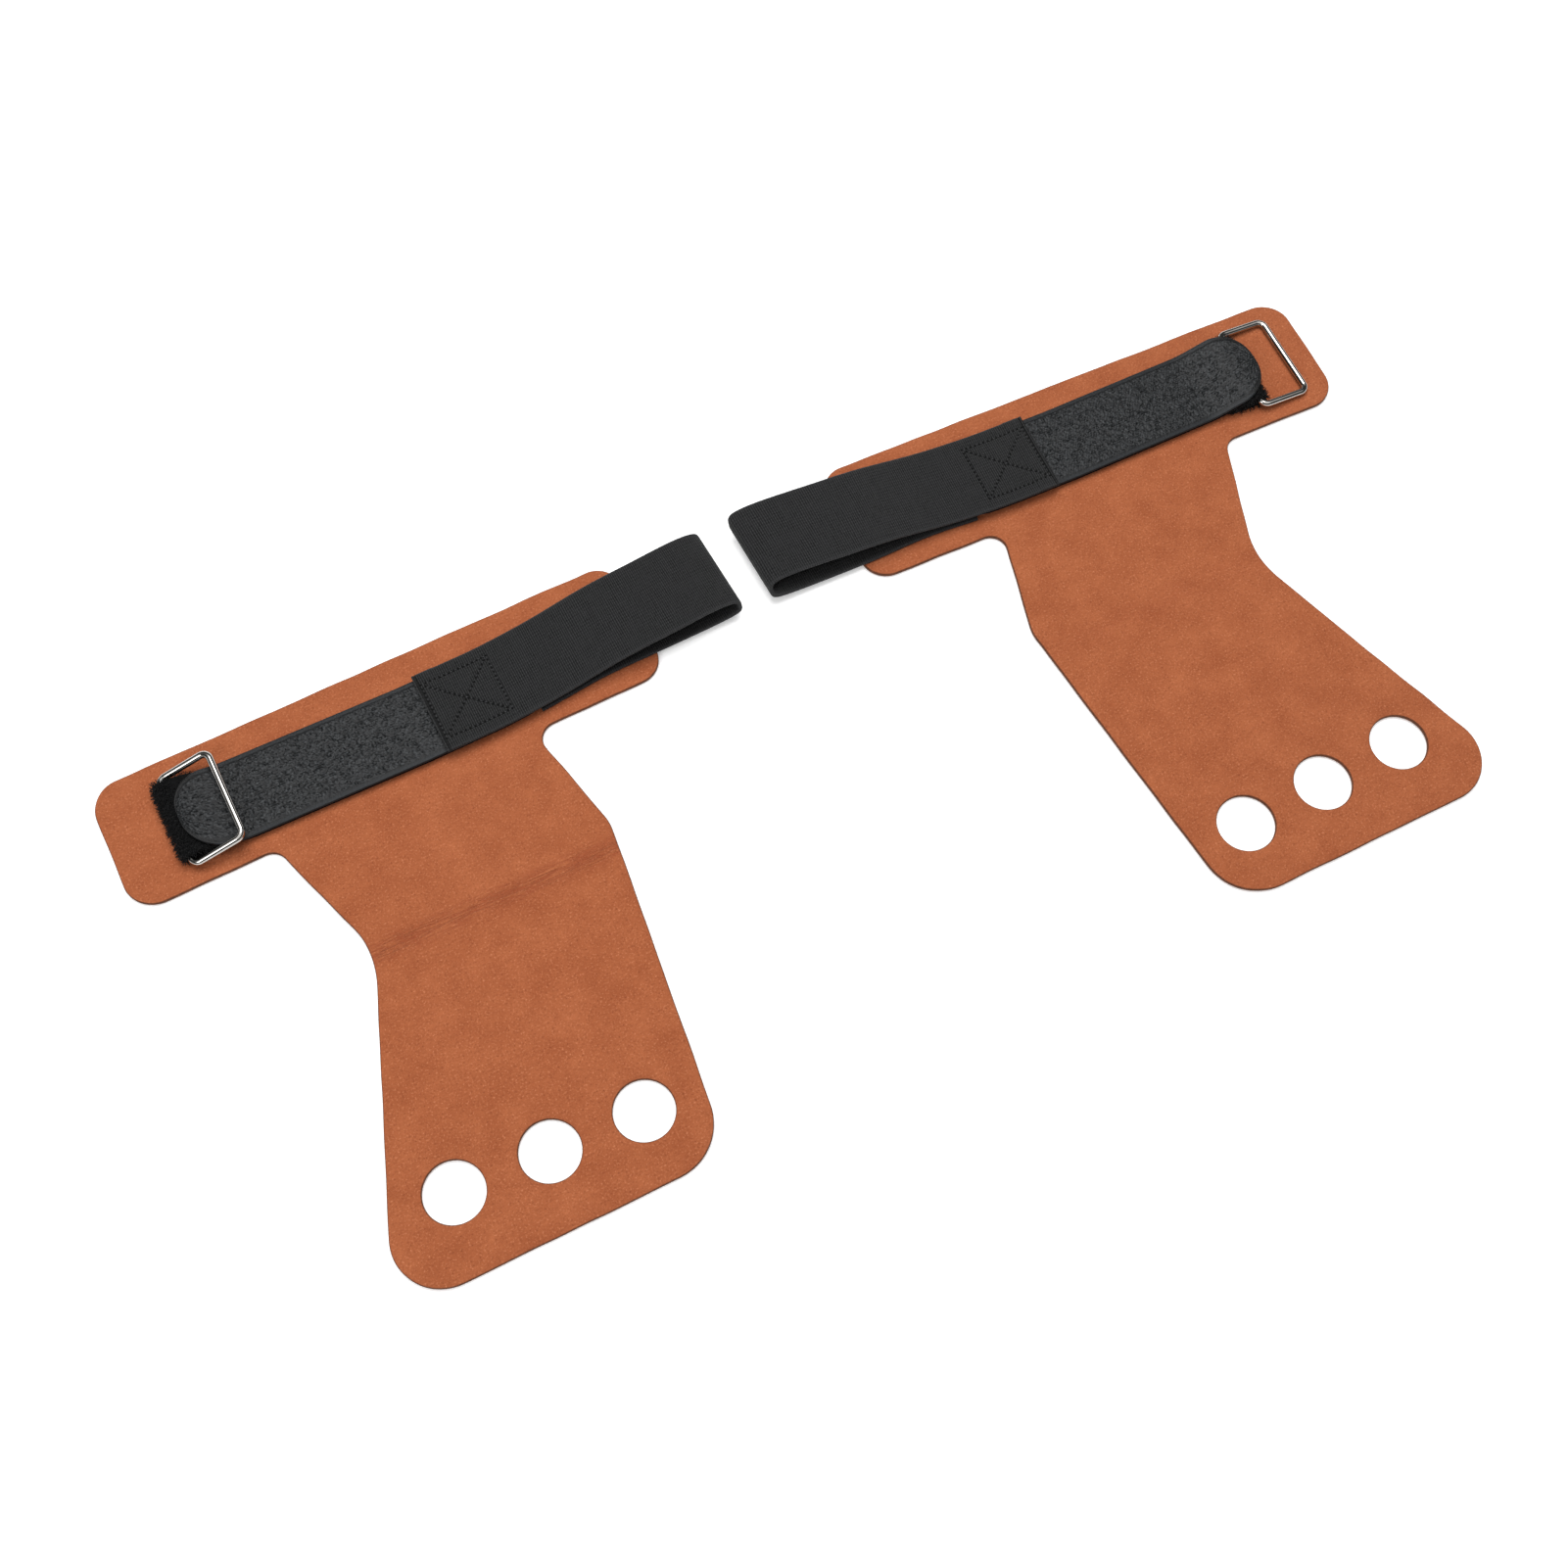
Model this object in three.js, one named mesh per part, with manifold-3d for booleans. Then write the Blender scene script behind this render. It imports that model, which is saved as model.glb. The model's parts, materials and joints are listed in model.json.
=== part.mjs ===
// A pair of leather palm grips with a ring-and-hook wrist strap each, laid flat with their wrist bands in line.
// Units are millimetres and +Z is up. The table is z = 0, X runs along the wrist bands, the fingers point to -Y.
import * as THREE from "three";
import { mergeVertices } from "three/addons/utils/BufferGeometryUtils.js";
import Module from "manifold-3d";

const wasm = await Module();
wasm.setup();

// ---- Driving dimensions ---------------------------------------------------------------------------------

// The two grips: how far each crease middle lies from the pair's middle, and the slope of the wrist band.
const GRIP_OFFSET = 107.4;
const BAND_RISE = THREE.MathUtils.degToRad(1.5);

// Leather. Its origin is the middle of the crease; the strap's folded end is on the +X side of the left grip.
const LEATHER_THICKNESS = 1.5;
const CREASE_GAP = 0.3;
const HALF_SPACE = 120;
const BAND_MIDLINE = 62.1;
const BAND_HEIGHT = 40.6;
const BAND_RING_END = -90.4;
const BAND_FOLD_END = 74.4;
const BAND_RING_RADIUS = 9;
const BAND_FOLD_RADIUS = 8;
const NECK_RING_X = -48.6;
const NECK_FOLD_X = 30.7;
const NECK_RADIUS = 5;
const WAIST_RING = { x: -35.6, y: 0.6, radius: 27 };
const WAIST_FOLD = { x: 38.3, y: 7.5, radius: 14 };
const FINGER_END_Y = -92.6;
const FINGER_RING = { x: -67.4, radius: 14 };
const FINGER_FOLD = { x: 27.8, radius: 16 };
const HOLE_RADIUS = 8.5;
const HOLE_PITCH = 26.9;
const HOLE_MIDDLE = { x: -14.3, y: -71.1 };
const HOLE_ROW_SLOPE = -0.04;

// Strap layers. Across the strap they share one midline, along it they are measured from the crease middle.
const TAPE_THICKNESS = 1.0;
const ELASTIC_THICKNESS = 1.2;
const PILE_HEIGHT = 0.7;
const LAYER_GAP = 0.2;
const PILE_TAPE_WIDTH = 24.6;
const HOOK_TAPE_WIDTH = 25.4;
const ELASTIC_WIDTH = 26.8;
const TAIL_RADIUS = 11;
const TAIL_END = -68.9;
const SETTLE_LENGTH = 19;
const WRAP_REACH = 4;
const RETURN_LEG_LENGTH = 10;
const PILE_TAPE_END = 43;
const LAP_START = 36;
const LAP_RAMP = 4.5;
const HOOK_TAPE_END = 32;
const SQUARE_CORNER = 0.1;

// The elastic's arch and fold, and the control points that give them their curves.
const ARCH_START = 40;
const ARCH_FOOT_X = 56;
const ARCH_RISE_X = 68;
const ARCH_CROWN_X = 87;
const ARCH_CROWN_Z = 10;
const FOLD_SHOULDER_X = 98;
const FOLD_UPPER_PULL_Z = 9;
const FOLD_LOWER_PULL_Z = 2.8;
const FOLD_X = 103.5;
const FOLD_Z = 5.6;
const FOLD_GAP = 0.4;
const FOLD_UPRIGHT = 0.6;

// What differs between the sides: where the ring is held and where the elastic's sewn end lies along the strap,
// and how far its lower layers, its upper layers, its loop and the ring lie from the band's middle line.
const SIDES = {
  left: { barX: -70.5, seamEnd: 6.1, lowerShift: -0.6, upperShift: -3.4, loopShift: -0.6, ringShift: -1.0 },
  right: { barX: -64.7, seamEnd: 8.4, lowerShift: -0.8, upperShift: -1.6, loopShift: 0.5, ringShift: -0.6 },
};

// The upper layers run a little askew: towards the middle line at the tail, and past it at the fold.
const TAIL_RETURN = 1.7;
const LOOP_DRIFT = { start: 20, end: 66 };
const FOLD_SHIFT = 1.2;
const FOLD_DRIFT = { start: 76, end: 104 };

// Ring: a bent wire whose inner bar is held in the pile tape's wrap.
const WIRE_DIAMETER = 2.1;
const RING_INNER_WIDTH = 26.5;
const RING_REACH = 16.5;
const RING_BEND_RADIUS = 2.4;
const RING_BUTT_GAP = 0.4;
const BAR_CLEARANCE = 0.25;
const RING_LEAN_OVER_TAIL = THREE.MathUtils.degToRad(15);

// Stitching.
const THREAD_WIDTH = 0.7;
const THREAD_HEIGHT = 0.4;
const THREAD_LIFT = 0.05;
const BOX_STITCH = { inset: 1.5, length: 20.6, width: 19 };
const RING_SEAM_X = -44.5;
const LAP_SEAM_X = 40.2;
const ANCHOR_SEAM_X = 67.5;
const SEAM_ROW_PITCH = 3;
const SEAM_MARGIN = 2.4;

// ---- Heights worked out from the layers -----------------------------------------------------------------

const TAPE_Z = LEATHER_THICKNESS + LAYER_GAP + TAPE_THICKNESS / 2;
const WRAP_RADIUS = (WIRE_DIAMETER + TAPE_THICKNESS) / 2 + BAR_CLEARANCE;
const BAR_Z = TAPE_Z + WRAP_RADIUS;
const WRAP_TOP_Z = BAR_Z + WRAP_RADIUS;
const HOOK_LIFT = TAPE_THICKNESS + PILE_HEIGHT;
const HOOK_TAPE_Z = TAPE_Z + HOOK_LIFT;
const ELASTIC_BASE_Z = LEATHER_THICKNESS + LAYER_GAP + ELASTIC_THICKNESS / 2;
const LAP_Z = ELASTIC_BASE_Z + LAYER_GAP + (ELASTIC_THICKNESS + TAPE_THICKNESS) / 2;
const ELASTIC_TOP_Z = HOOK_TAPE_Z + LAYER_GAP + (ELASTIC_THICKNESS + TAPE_THICKNESS) / 2;
const RING_LEAN_ON_LEATHER = Math.asin((BAR_Z - LEATHER_THICKNESS - LAYER_GAP - WIRE_DIAMETER / 2) / RING_REACH);

// ---- Materials ------------------------------------------------------------------------------------------

const suede = new THREE.MeshStandardMaterial({ color: 0xb4663f, roughness: 0.95, metalness: 0 });
const blackElastic = new THREE.MeshStandardMaterial({ color: 0x2a2b2c, roughness: 0.9, metalness: 0 });
const hookFace = new THREE.MeshStandardMaterial({ color: 0x33363a, roughness: 0.6, metalness: 0 });
const pileFace = new THREE.MeshStandardMaterial({ color: 0x161617, roughness: 1, metalness: 0 });
const gunmetal = new THREE.MeshStandardMaterial({ color: 0x6d6b68, roughness: 0.2, metalness: 1 });
const blackThread = new THREE.MeshStandardMaterial({ color: 0x0e0e0f, roughness: 0.8, metalness: 0 });

// ---- Shape helpers --------------------------------------------------------------------------------------

// A closed outline through corners, each turned into an arc of its own radius.
function roundedOutline(corners) {
  const outline = new THREE.Shape();
  const count = corners.length;
  corners.forEach(({ x, y, radius }, index) => {
    const corner = new THREE.Vector2(x, y);
    const before = corners[(index + count - 1) % count];
    const after = corners[(index + 1) % count];
    const back = new THREE.Vector2(before.x - x, before.y - y).normalize();
    const ahead = new THREE.Vector2(after.x - x, after.y - y).normalize();
    const halfAngle = Math.acos(THREE.MathUtils.clamp(back.dot(ahead), -1, 1)) / 2;
    const bisector = back.clone().add(ahead).normalize();
    const centre = corner.clone().addScaledVector(bisector, radius / Math.sin(halfAngle));
    const tangent = radius / Math.tan(halfAngle);
    const entry = corner.clone().addScaledVector(back, tangent).sub(centre);
    const exit = corner.clone().addScaledVector(ahead, tangent).sub(centre);
    const clockwise = back.cross(ahead) > 0;
    outline.absarc(centre.x, centre.y, radius, entry.angle(), exit.angle(), clockwise);
  });
  outline.closePath();
  return outline;
}

// A flat plate: an outline extruded upwards from a height.
function plate(outline, height, bottom = 0, curveSegments = 16) {
  const geometry = new THREE.ExtrudeGeometry(outline, { depth: height, bevelEnabled: false, curveSegments });
  return geometry.translate(0, 0, bottom);
}

// A strip of webbing: a path in the X-Z plane given a thickness, spread across Y by its width.
function webbing(path, thickness, width, divisions = 10) {
  const points = path.getPoints(divisions);
  const offset = (index, side) => {
    const before = points[Math.max(index - 1, 0)];
    const after = points[Math.min(index + 1, points.length - 1)];
    const along = after.clone().sub(before).normalize();
    return new THREE.Vector2(-along.y, along.x).multiplyScalar((side * thickness) / 2).add(points[index]);
  };
  const upper = points.map((_, index) => offset(index, 1));
  const lower = points.map((_, index) => offset(index, -1)).reverse();
  const geometry = new THREE.ExtrudeGeometry(new THREE.Shape([...upper, ...lower]), {
    depth: width,
    bevelEnabled: false,
  });
  return geometry.rotateX(Math.PI / 2).translate(0, width / 2, 0);
}

// The solid that two closed geometries share.
function intersection(first, second) {
  const solid = (geometry) => {
    const bare = geometry.clone();
    bare.deleteAttribute("normal");
    bare.deleteAttribute("uv");
    const merged = mergeVertices(bare, 1e-4);
    const vertProperties = Float32Array.from(merged.attributes.position.array);
    const triVerts = Uint32Array.from(merged.index.array);
    return new wasm.Manifold(new wasm.Mesh({ numProp: 3, vertProperties, triVerts }));
  };
  const mesh = solid(first).intersect(solid(second)).getMesh();
  const geometry = new THREE.BufferGeometry();
  geometry.setAttribute("position", new THREE.BufferAttribute(Float32Array.from(mesh.vertProperties), 3));
  geometry.setIndex(new THREE.BufferAttribute(Uint32Array.from(mesh.triVerts), 1));
  geometry.computeVertexNormals();
  return geometry;
}

// The mirror image across X = 0, with its faces turned back to point outwards.
function mirrored(geometry) {
  const flat = geometry.index ? geometry.toNonIndexed() : geometry.clone();
  flat.scale(-1, 1, 1);
  const place = flat.attributes.position;
  for (let corner = 0; corner < place.count; corner += 3) {
    const second = new THREE.Vector3().fromBufferAttribute(place, corner + 1);
    const third = new THREE.Vector3().fromBufferAttribute(place, corner + 2);
    place.setXYZ(corner + 1, third.x, third.y, third.z);
    place.setXYZ(corner + 2, second.x, second.y, second.z);
  }
  flat.computeVertexNormals();
  return flat;
}

// How high the tape lies at x: on top of the wrap at the bar, and flat once it has settled.
function settledHeight(x, barX) {
  const settled = THREE.MathUtils.smoothstep(x, barX, barX + SETTLE_LENGTH);
  return THREE.MathUtils.lerp(WRAP_TOP_Z, TAPE_Z, settled);
}

// Points down the settling stretch, lifted by a layer above.
function settlingPoints(from, barX, lift) {
  const steps = 12;
  const end = barX + SETTLE_LENGTH;
  return Array.from({ length: steps + 1 }, (_, step) => {
    const x = THREE.MathUtils.lerp(from, end, step / steps);
    return new THREE.Vector2(x, settledHeight(x, barX) + lift);
  });
}

// How far the upper layers lie from the band's middle line at x.
function upperDrift(x, { upperShift, loopShift }) {
  const tail = TAIL_RETURN * Math.max(x / TAIL_END, 0);
  const loop = THREE.MathUtils.smoothstep(x, LOOP_DRIFT.start, LOOP_DRIFT.end);
  const fold = FOLD_SHIFT * THREE.MathUtils.smoothstep(x, FOLD_DRIFT.start, FOLD_DRIFT.end);
  return THREE.MathUtils.lerp(upperShift, loopShift, loop) + tail + fold;
}

// How far the lower layers lie from it: under the upper ones along the tapes, and on their own at both ends.
function lowerDrift(x, fitted) {
  const leaving = THREE.MathUtils.smoothstep(x, fitted.barX + WRAP_REACH, fitted.barX + SETTLE_LENGTH);
  const returning = THREE.MathUtils.smoothstep(x, PILE_TAPE_END, BAND_FOLD_END);
  return THREE.MathUtils.lerp(fitted.lowerShift, upperDrift(x, fitted), leaving - returning);
}

// A layer's geometry moved sideways by its drift.
function drifted(geometry, drift, fitted) {
  const place = geometry.attributes.position;
  for (let index = 0; index < place.count; index += 1) {
    place.setY(index, place.getY(index) + drift(place.getX(index), fitted));
  }
  geometry.computeVertexNormals();
  return geometry;
}

// ---- Leather --------------------------------------------------------------------------------------------

// A corner given along the wrist band's own level line, turned by the band's rise.
function onBand(x, y, radius) {
  const corner = new THREE.Vector2(x, y).rotateAround(new THREE.Vector2(), BAND_RISE);
  return { x: corner.x, y: corner.y, radius };
}

function leatherOutline() {
  const bandTop = BAND_MIDLINE + BAND_HEIGHT / 2;
  const bandBottom = BAND_MIDLINE - BAND_HEIGHT / 2;
  const outline = roundedOutline([
    onBand(BAND_RING_END, bandTop, BAND_RING_RADIUS),
    onBand(BAND_RING_END, bandBottom, BAND_RING_RADIUS),
    onBand(NECK_RING_X, bandBottom, NECK_RADIUS),
    WAIST_RING,
    { ...FINGER_RING, y: FINGER_END_Y },
    { ...FINGER_FOLD, y: FINGER_END_Y },
    WAIST_FOLD,
    onBand(NECK_FOLD_X, bandBottom, NECK_RADIUS),
    onBand(BAND_FOLD_END, bandBottom, BAND_FOLD_RADIUS),
    onBand(BAND_FOLD_END, bandTop, BAND_FOLD_RADIUS),
  ]);
  for (const step of [-1, 0, 1]) {
    const across = step * HOLE_PITCH;
    const hole = new THREE.Path();
    const y = HOLE_MIDDLE.y + across * HOLE_ROW_SLOPE;
    hole.absarc(HOLE_MIDDLE.x + across, y, HOLE_RADIUS, 0, 2 * Math.PI, true);
    outline.holes.push(hole);
  }
  return outline;
}

// The leather on one side of the crease: +1 is the wrist's side and -1 is the palm's.
function leatherSide(direction) {
  const halfSpace = new THREE.BoxGeometry(2 * HALF_SPACE, HALF_SPACE, 3 * LEATHER_THICKNESS);
  halfSpace.translate(0, (direction * (HALF_SPACE + CREASE_GAP)) / 2, 0);
  return intersection(plate(leatherOutline(), LEATHER_THICKNESS), halfSpace);
}

// ---- Strap ----------------------------------------------------------------------------------------------

// Pile tape: return leg on the leather, round the ring's bar, back over itself, then lapped over the elastic.
function pileTape(fitted) {
  const { barX } = fitted;
  const path = new THREE.Path();
  path.moveTo(barX + RETURN_LEG_LENGTH, TAPE_Z);
  path.lineTo(barX, TAPE_Z);
  path.absarc(barX, BAR_Z, WRAP_RADIUS, 1.5 * Math.PI, 0.5 * Math.PI, true);
  path.splineThru(settlingPoints(barX, barX, 0).slice(1));
  path.lineTo(0, TAPE_Z);
  path.lineTo(LAP_START - LAP_RAMP, TAPE_Z);
  path.lineTo(LAP_START, LAP_Z);
  path.lineTo(PILE_TAPE_END, LAP_Z);
  return drifted(webbing(path, TAPE_THICKNESS, PILE_TAPE_WIDTH, 8), lowerDrift, fitted);
}

// Hook tape: from the rounded tail above the ring's bar to its end under the elastic.
function hookTape(fitted) {
  const { barX } = fitted;
  const path = new THREE.Path();
  const settling = settlingPoints(TAIL_END, barX, HOOK_LIFT);
  path.moveTo(settling[0].x, settling[0].y);
  path.splineThru(settling.slice(1));
  path.lineTo(0, HOOK_TAPE_Z);
  path.lineTo(HOOK_TAPE_END, HOOK_TAPE_Z);
  const half = HOOK_TAPE_WIDTH / 2;
  const plan = roundedOutline([
    { x: TAIL_END, y: half, radius: TAIL_RADIUS },
    { x: TAIL_END, y: -half, radius: TAIL_RADIUS },
    { x: HOOK_TAPE_END + 1, y: -half, radius: SQUARE_CORNER },
    { x: HOOK_TAPE_END + 1, y: half, radius: SQUARE_CORNER },
  ]);
  const strip = webbing(path, TAPE_THICKNESS, HOOK_TAPE_WIDTH + 1, 2);
  return drifted(intersection(strip, plate(plan, 2 * ARCH_CROWN_Z)), upperDrift, fitted);
}

// Elastic on the leather: from under the pile tape's lap to the lower half of the fold.
function elasticBase(fitted) {
  const path = new THREE.Path();
  path.moveTo(LAP_START, ELASTIC_BASE_Z);
  for (const x of [PILE_TAPE_END, ARCH_FOOT_X, ANCHOR_SEAM_X, BAND_FOLD_END]) {
    path.lineTo(x, ELASTIC_BASE_Z);
  }
  const upright = FOLD_Z - FOLD_UPRIGHT;
  path.bezierCurveTo(FOLD_SHOULDER_X, ELASTIC_BASE_Z, FOLD_X, FOLD_LOWER_PULL_Z, FOLD_X, upright);
  path.lineTo(FOLD_X, FOLD_Z - FOLD_GAP / 2);
  return drifted(webbing(path, ELASTIC_THICKNESS, ELASTIC_WIDTH), lowerDrift, fitted);
}

// Elastic on top: from the upper half of the fold, over an arch, down to the seam on the hook tape.
function elasticTop(fitted) {
  const path = new THREE.Path();
  path.moveTo(fitted.seamEnd, ELASTIC_TOP_Z);
  path.lineTo(ARCH_START, ELASTIC_TOP_Z);
  path.bezierCurveTo(ARCH_FOOT_X, ELASTIC_TOP_Z, ARCH_RISE_X, ARCH_CROWN_Z, ARCH_CROWN_X, ARCH_CROWN_Z);
  const upright = FOLD_Z + FOLD_UPRIGHT;
  path.bezierCurveTo(FOLD_SHOULDER_X, ARCH_CROWN_Z, FOLD_X, FOLD_UPPER_PULL_Z, FOLD_X, upright);
  path.lineTo(FOLD_X, FOLD_Z + FOLD_GAP / 2);
  return drifted(webbing(path, ELASTIC_THICKNESS, ELASTIC_WIDTH), upperDrift, fitted);
}

// ---- Ring -----------------------------------------------------------------------------------------------

// The ring lies along +X from its held bar at the origin; the wire's ends butt together in that bar.
function buckleRing() {
  const half = (RING_INNER_WIDTH + WIRE_DIAMETER) / 2;
  const bend = RING_BEND_RADIUS;
  const rightAngle = Math.PI / 2;
  const plan = new THREE.Path();
  plan.moveTo(0, RING_BUTT_GAP / 2);
  plan.lineTo(0, half - bend);
  plan.absarc(bend, half - bend, bend, 2 * rightAngle, rightAngle, true);
  plan.lineTo(RING_REACH - bend, half);
  plan.absarc(RING_REACH - bend, half - bend, bend, rightAngle, 0, true);
  plan.lineTo(RING_REACH, bend - half);
  plan.absarc(RING_REACH - bend, bend - half, bend, 0, -rightAngle, true);
  plan.lineTo(bend, -half);
  plan.absarc(bend, bend - half, bend, -rightAngle, -2 * rightAngle, true);
  plan.lineTo(0, -RING_BUTT_GAP / 2);
  const wire = new THREE.CurvePath();
  const corners = plan.getPoints(4).map((point) => new THREE.Vector3(point.x, point.y, 0));
  corners.slice(1).forEach((corner, index) => wire.add(new THREE.LineCurve3(corners[index], corner)));
  const section = new THREE.Shape();
  section.absarc(0, 0, WIRE_DIAMETER / 2, 0, 2 * Math.PI, false);
  return new THREE.ExtrudeGeometry(section, { steps: 96, extrudePath: wire, curveSegments: 6 });
}

// ---- Stitching ------------------------------------------------------------------------------------------

// A box of stitching with its two diagonals, as one piece of thread.
function boxStitch({ seamEnd, upperShift }) {
  const halfLength = BOX_STITCH.length / 2;
  const halfWidth = BOX_STITCH.width / 2;
  const outline = new THREE.Shape([
    new THREE.Vector2(-halfLength, -halfWidth),
    new THREE.Vector2(halfLength, -halfWidth),
    new THREE.Vector2(halfLength, halfWidth),
    new THREE.Vector2(-halfLength, halfWidth),
  ]);
  // Each of the four openings is a triangle between two diagonals and one side.
  const diagonal = Math.hypot(halfLength, halfWidth);
  const tip = { x: (THREAD_WIDTH * diagonal) / 2 / halfWidth, y: (THREAD_WIDTH * diagonal) / 2 / halfLength };
  const inner = { x: halfLength - THREAD_WIDTH, y: halfWidth - THREAD_WIDTH };
  for (const sign of [-1, 1]) {
    const wideY = (halfWidth / halfLength) * (inner.x - tip.x);
    outline.holes.push(new THREE.Path([
      new THREE.Vector2(sign * tip.x, 0),
      new THREE.Vector2(sign * inner.x, wideY),
      new THREE.Vector2(sign * inner.x, -wideY),
    ]));
    const wideX = (halfLength / halfWidth) * (inner.y - tip.y);
    outline.holes.push(new THREE.Path([
      new THREE.Vector2(0, sign * tip.y),
      new THREE.Vector2(wideX, sign * inner.y),
      new THREE.Vector2(-wideX, sign * inner.y),
    ]));
  }
  const bottom = ELASTIC_TOP_Z + ELASTIC_THICKNESS / 2 + THREAD_LIFT;
  const middle = seamEnd + BOX_STITCH.inset + halfLength;
  return plate(outline, THREAD_HEIGHT, bottom).translate(middle, upperShift, 0);
}

// Two rows of stitching across a lower layer, joined at both ends as a sewing machine turns.
function crossSeam(x, stripWidth, surface, fitted) {
  const halfWidth = stripWidth / 2 - SEAM_MARGIN;
  const outer = SEAM_ROW_PITCH / 2 + THREAD_WIDTH / 2;
  const inner = SEAM_ROW_PITCH / 2 - THREAD_WIDTH / 2;
  const loop = (halfX, halfY) => [
    new THREE.Vector2(-halfX, -halfY),
    new THREE.Vector2(halfX, -halfY),
    new THREE.Vector2(halfX, halfY),
    new THREE.Vector2(-halfX, halfY),
  ];
  const outline = new THREE.Shape(loop(outer, halfWidth));
  outline.holes.push(new THREE.Path(loop(inner, halfWidth - THREAD_WIDTH)));
  return plate(outline, THREAD_HEIGHT, surface + THREAD_LIFT).translate(x, lowerDrift(x, fitted), 0);
}

// ---- Assembly -------------------------------------------------------------------------------------------

// One grip. Its side is "left" or "right", and the right one is the left one's mirror image.
function grip(side) {
  const isLeft = side === "left";
  const fitted = SIDES[side];
  const handed = (geometry) => (isLeft ? geometry : mirrored(geometry));
  const piece = (name, geometry, material) => {
    const mesh = new THREE.Mesh(handed(geometry), material);
    mesh.name = `${side}_${name}`;
    return mesh;
  };

  const strap = new THREE.Group();
  strap.rotation.z = isLeft ? BAND_RISE : -BAND_RISE;
  const layers = new THREE.Group();
  layers.position.y = BAND_MIDLINE;
  strap.add(layers);
  const seam = (name, x, stripWidth, surface) => (
    piece(name, crossSeam(x, stripWidth, surface, fitted), blackThread)
  );
  layers.add(
    piece("pile_tape", pileTape(fitted), pileFace),
    piece("hook_tape", hookTape(fitted), hookFace),
    piece("elastic_base", elasticBase(fitted), blackElastic),
    piece("elastic_top", elasticTop(fitted), blackElastic),
    piece("box_x_stitch", boxStitch(fitted), blackThread),
    seam("ring_seam", RING_SEAM_X, PILE_TAPE_WIDTH, TAPE_Z + TAPE_THICKNESS / 2),
    seam("lap_seam", LAP_SEAM_X, PILE_TAPE_WIDTH, LAP_Z + TAPE_THICKNESS / 2),
    seam("anchor_seam", ANCHOR_SEAM_X, ELASTIC_WIDTH, ELASTIC_BASE_Z + ELASTIC_THICKNESS / 2),
  );

  // Both rings point to +X: the left one back over its tail, the right one outwards onto its leather.
  const ring = new THREE.Mesh(buckleRing(), gunmetal);
  ring.name = `${side}_buckle_ring`;
  ring.position.set(isLeft ? fitted.barX : -fitted.barX, fitted.ringShift, BAR_Z);
  ring.rotation.y = isLeft ? -RING_LEAN_OVER_TAIL : RING_LEAN_ON_LEATHER;
  layers.add(ring);

  const whole = new THREE.Group();
  whole.position.x = isLeft ? -GRIP_OFFSET : GRIP_OFFSET;
  whole.add(
    piece("wrist_leather", leatherSide(1), suede),
    piece("palm_leather", leatherSide(-1), suede),
    strap,
  );
  return whole;
}

const group = new THREE.Group();
group.add(grip("left"), grip("right"));

// The origin is the middle of the pair's footprint.
const footprint = new THREE.Box3().setFromObject(group, true).getCenter(new THREE.Vector3());
group.position.set(-footprint.x, -footprint.y, 0);

export default group;
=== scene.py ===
"""A pair of suede palm grips with hook-tape and elastic wrist straps, laid flat on a pale table.

Shapes are drawn in millimetres in a left grip's own frame, whose origin is the middle of the crease, or in
the strap's frame, turned to lie along the wrist band. Each finished mesh is then placed in the scene, in
metres.
"""

import json
import math

import bmesh
import bpy
from mathutils import Euler, Matrix, Vector, kdtree
from mathutils.geometry import delaunay_2d_cdt
from mathutils.noise import noise


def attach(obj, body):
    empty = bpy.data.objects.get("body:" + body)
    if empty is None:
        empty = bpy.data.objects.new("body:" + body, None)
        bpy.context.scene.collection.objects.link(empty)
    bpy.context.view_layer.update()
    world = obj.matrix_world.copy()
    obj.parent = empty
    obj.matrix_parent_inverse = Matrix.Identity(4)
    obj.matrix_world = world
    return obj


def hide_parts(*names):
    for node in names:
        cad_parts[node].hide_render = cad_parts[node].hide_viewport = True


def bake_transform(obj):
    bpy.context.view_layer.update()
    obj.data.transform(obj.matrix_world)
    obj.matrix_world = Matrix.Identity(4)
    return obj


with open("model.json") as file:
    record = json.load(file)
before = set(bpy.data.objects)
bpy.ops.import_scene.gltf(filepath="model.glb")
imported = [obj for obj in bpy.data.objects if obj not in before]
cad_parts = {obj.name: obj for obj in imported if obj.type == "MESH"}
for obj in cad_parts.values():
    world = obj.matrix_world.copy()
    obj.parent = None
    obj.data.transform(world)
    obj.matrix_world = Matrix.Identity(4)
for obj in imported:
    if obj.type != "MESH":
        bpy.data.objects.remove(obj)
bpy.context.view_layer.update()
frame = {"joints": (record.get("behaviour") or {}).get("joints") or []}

# ---- Sizes, in millimetres --------------------------------------------------------------------------------

MM = 0.001

LEATHER_THICKNESS = 1.5
BAND_RISE = math.radians(1.5)
BAND_TOP = 82.4
BAND_BOTTOM = 41.8
BAND_RING_END = -90.4
BAND_FOLD_END = 74.4
BAND_RING_RADIUS = 9
BAND_FOLD_RADIUS = 8
NECK_RADIUS = 5
NECK_RING_X = -48.6
NECK_FOLD_X = 30.7
FINGER_END_Y = -92.6
HOLE_RADIUS = 8.5
HOLE_PITCH = 26.9
HOLE_MIDDLE = Vector((-14.3, -71.1))
HOLE_ROW_SLOPE = -0.04
EDGE_ROUND = 0.35
CREASE_BAND = 5.5

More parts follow.
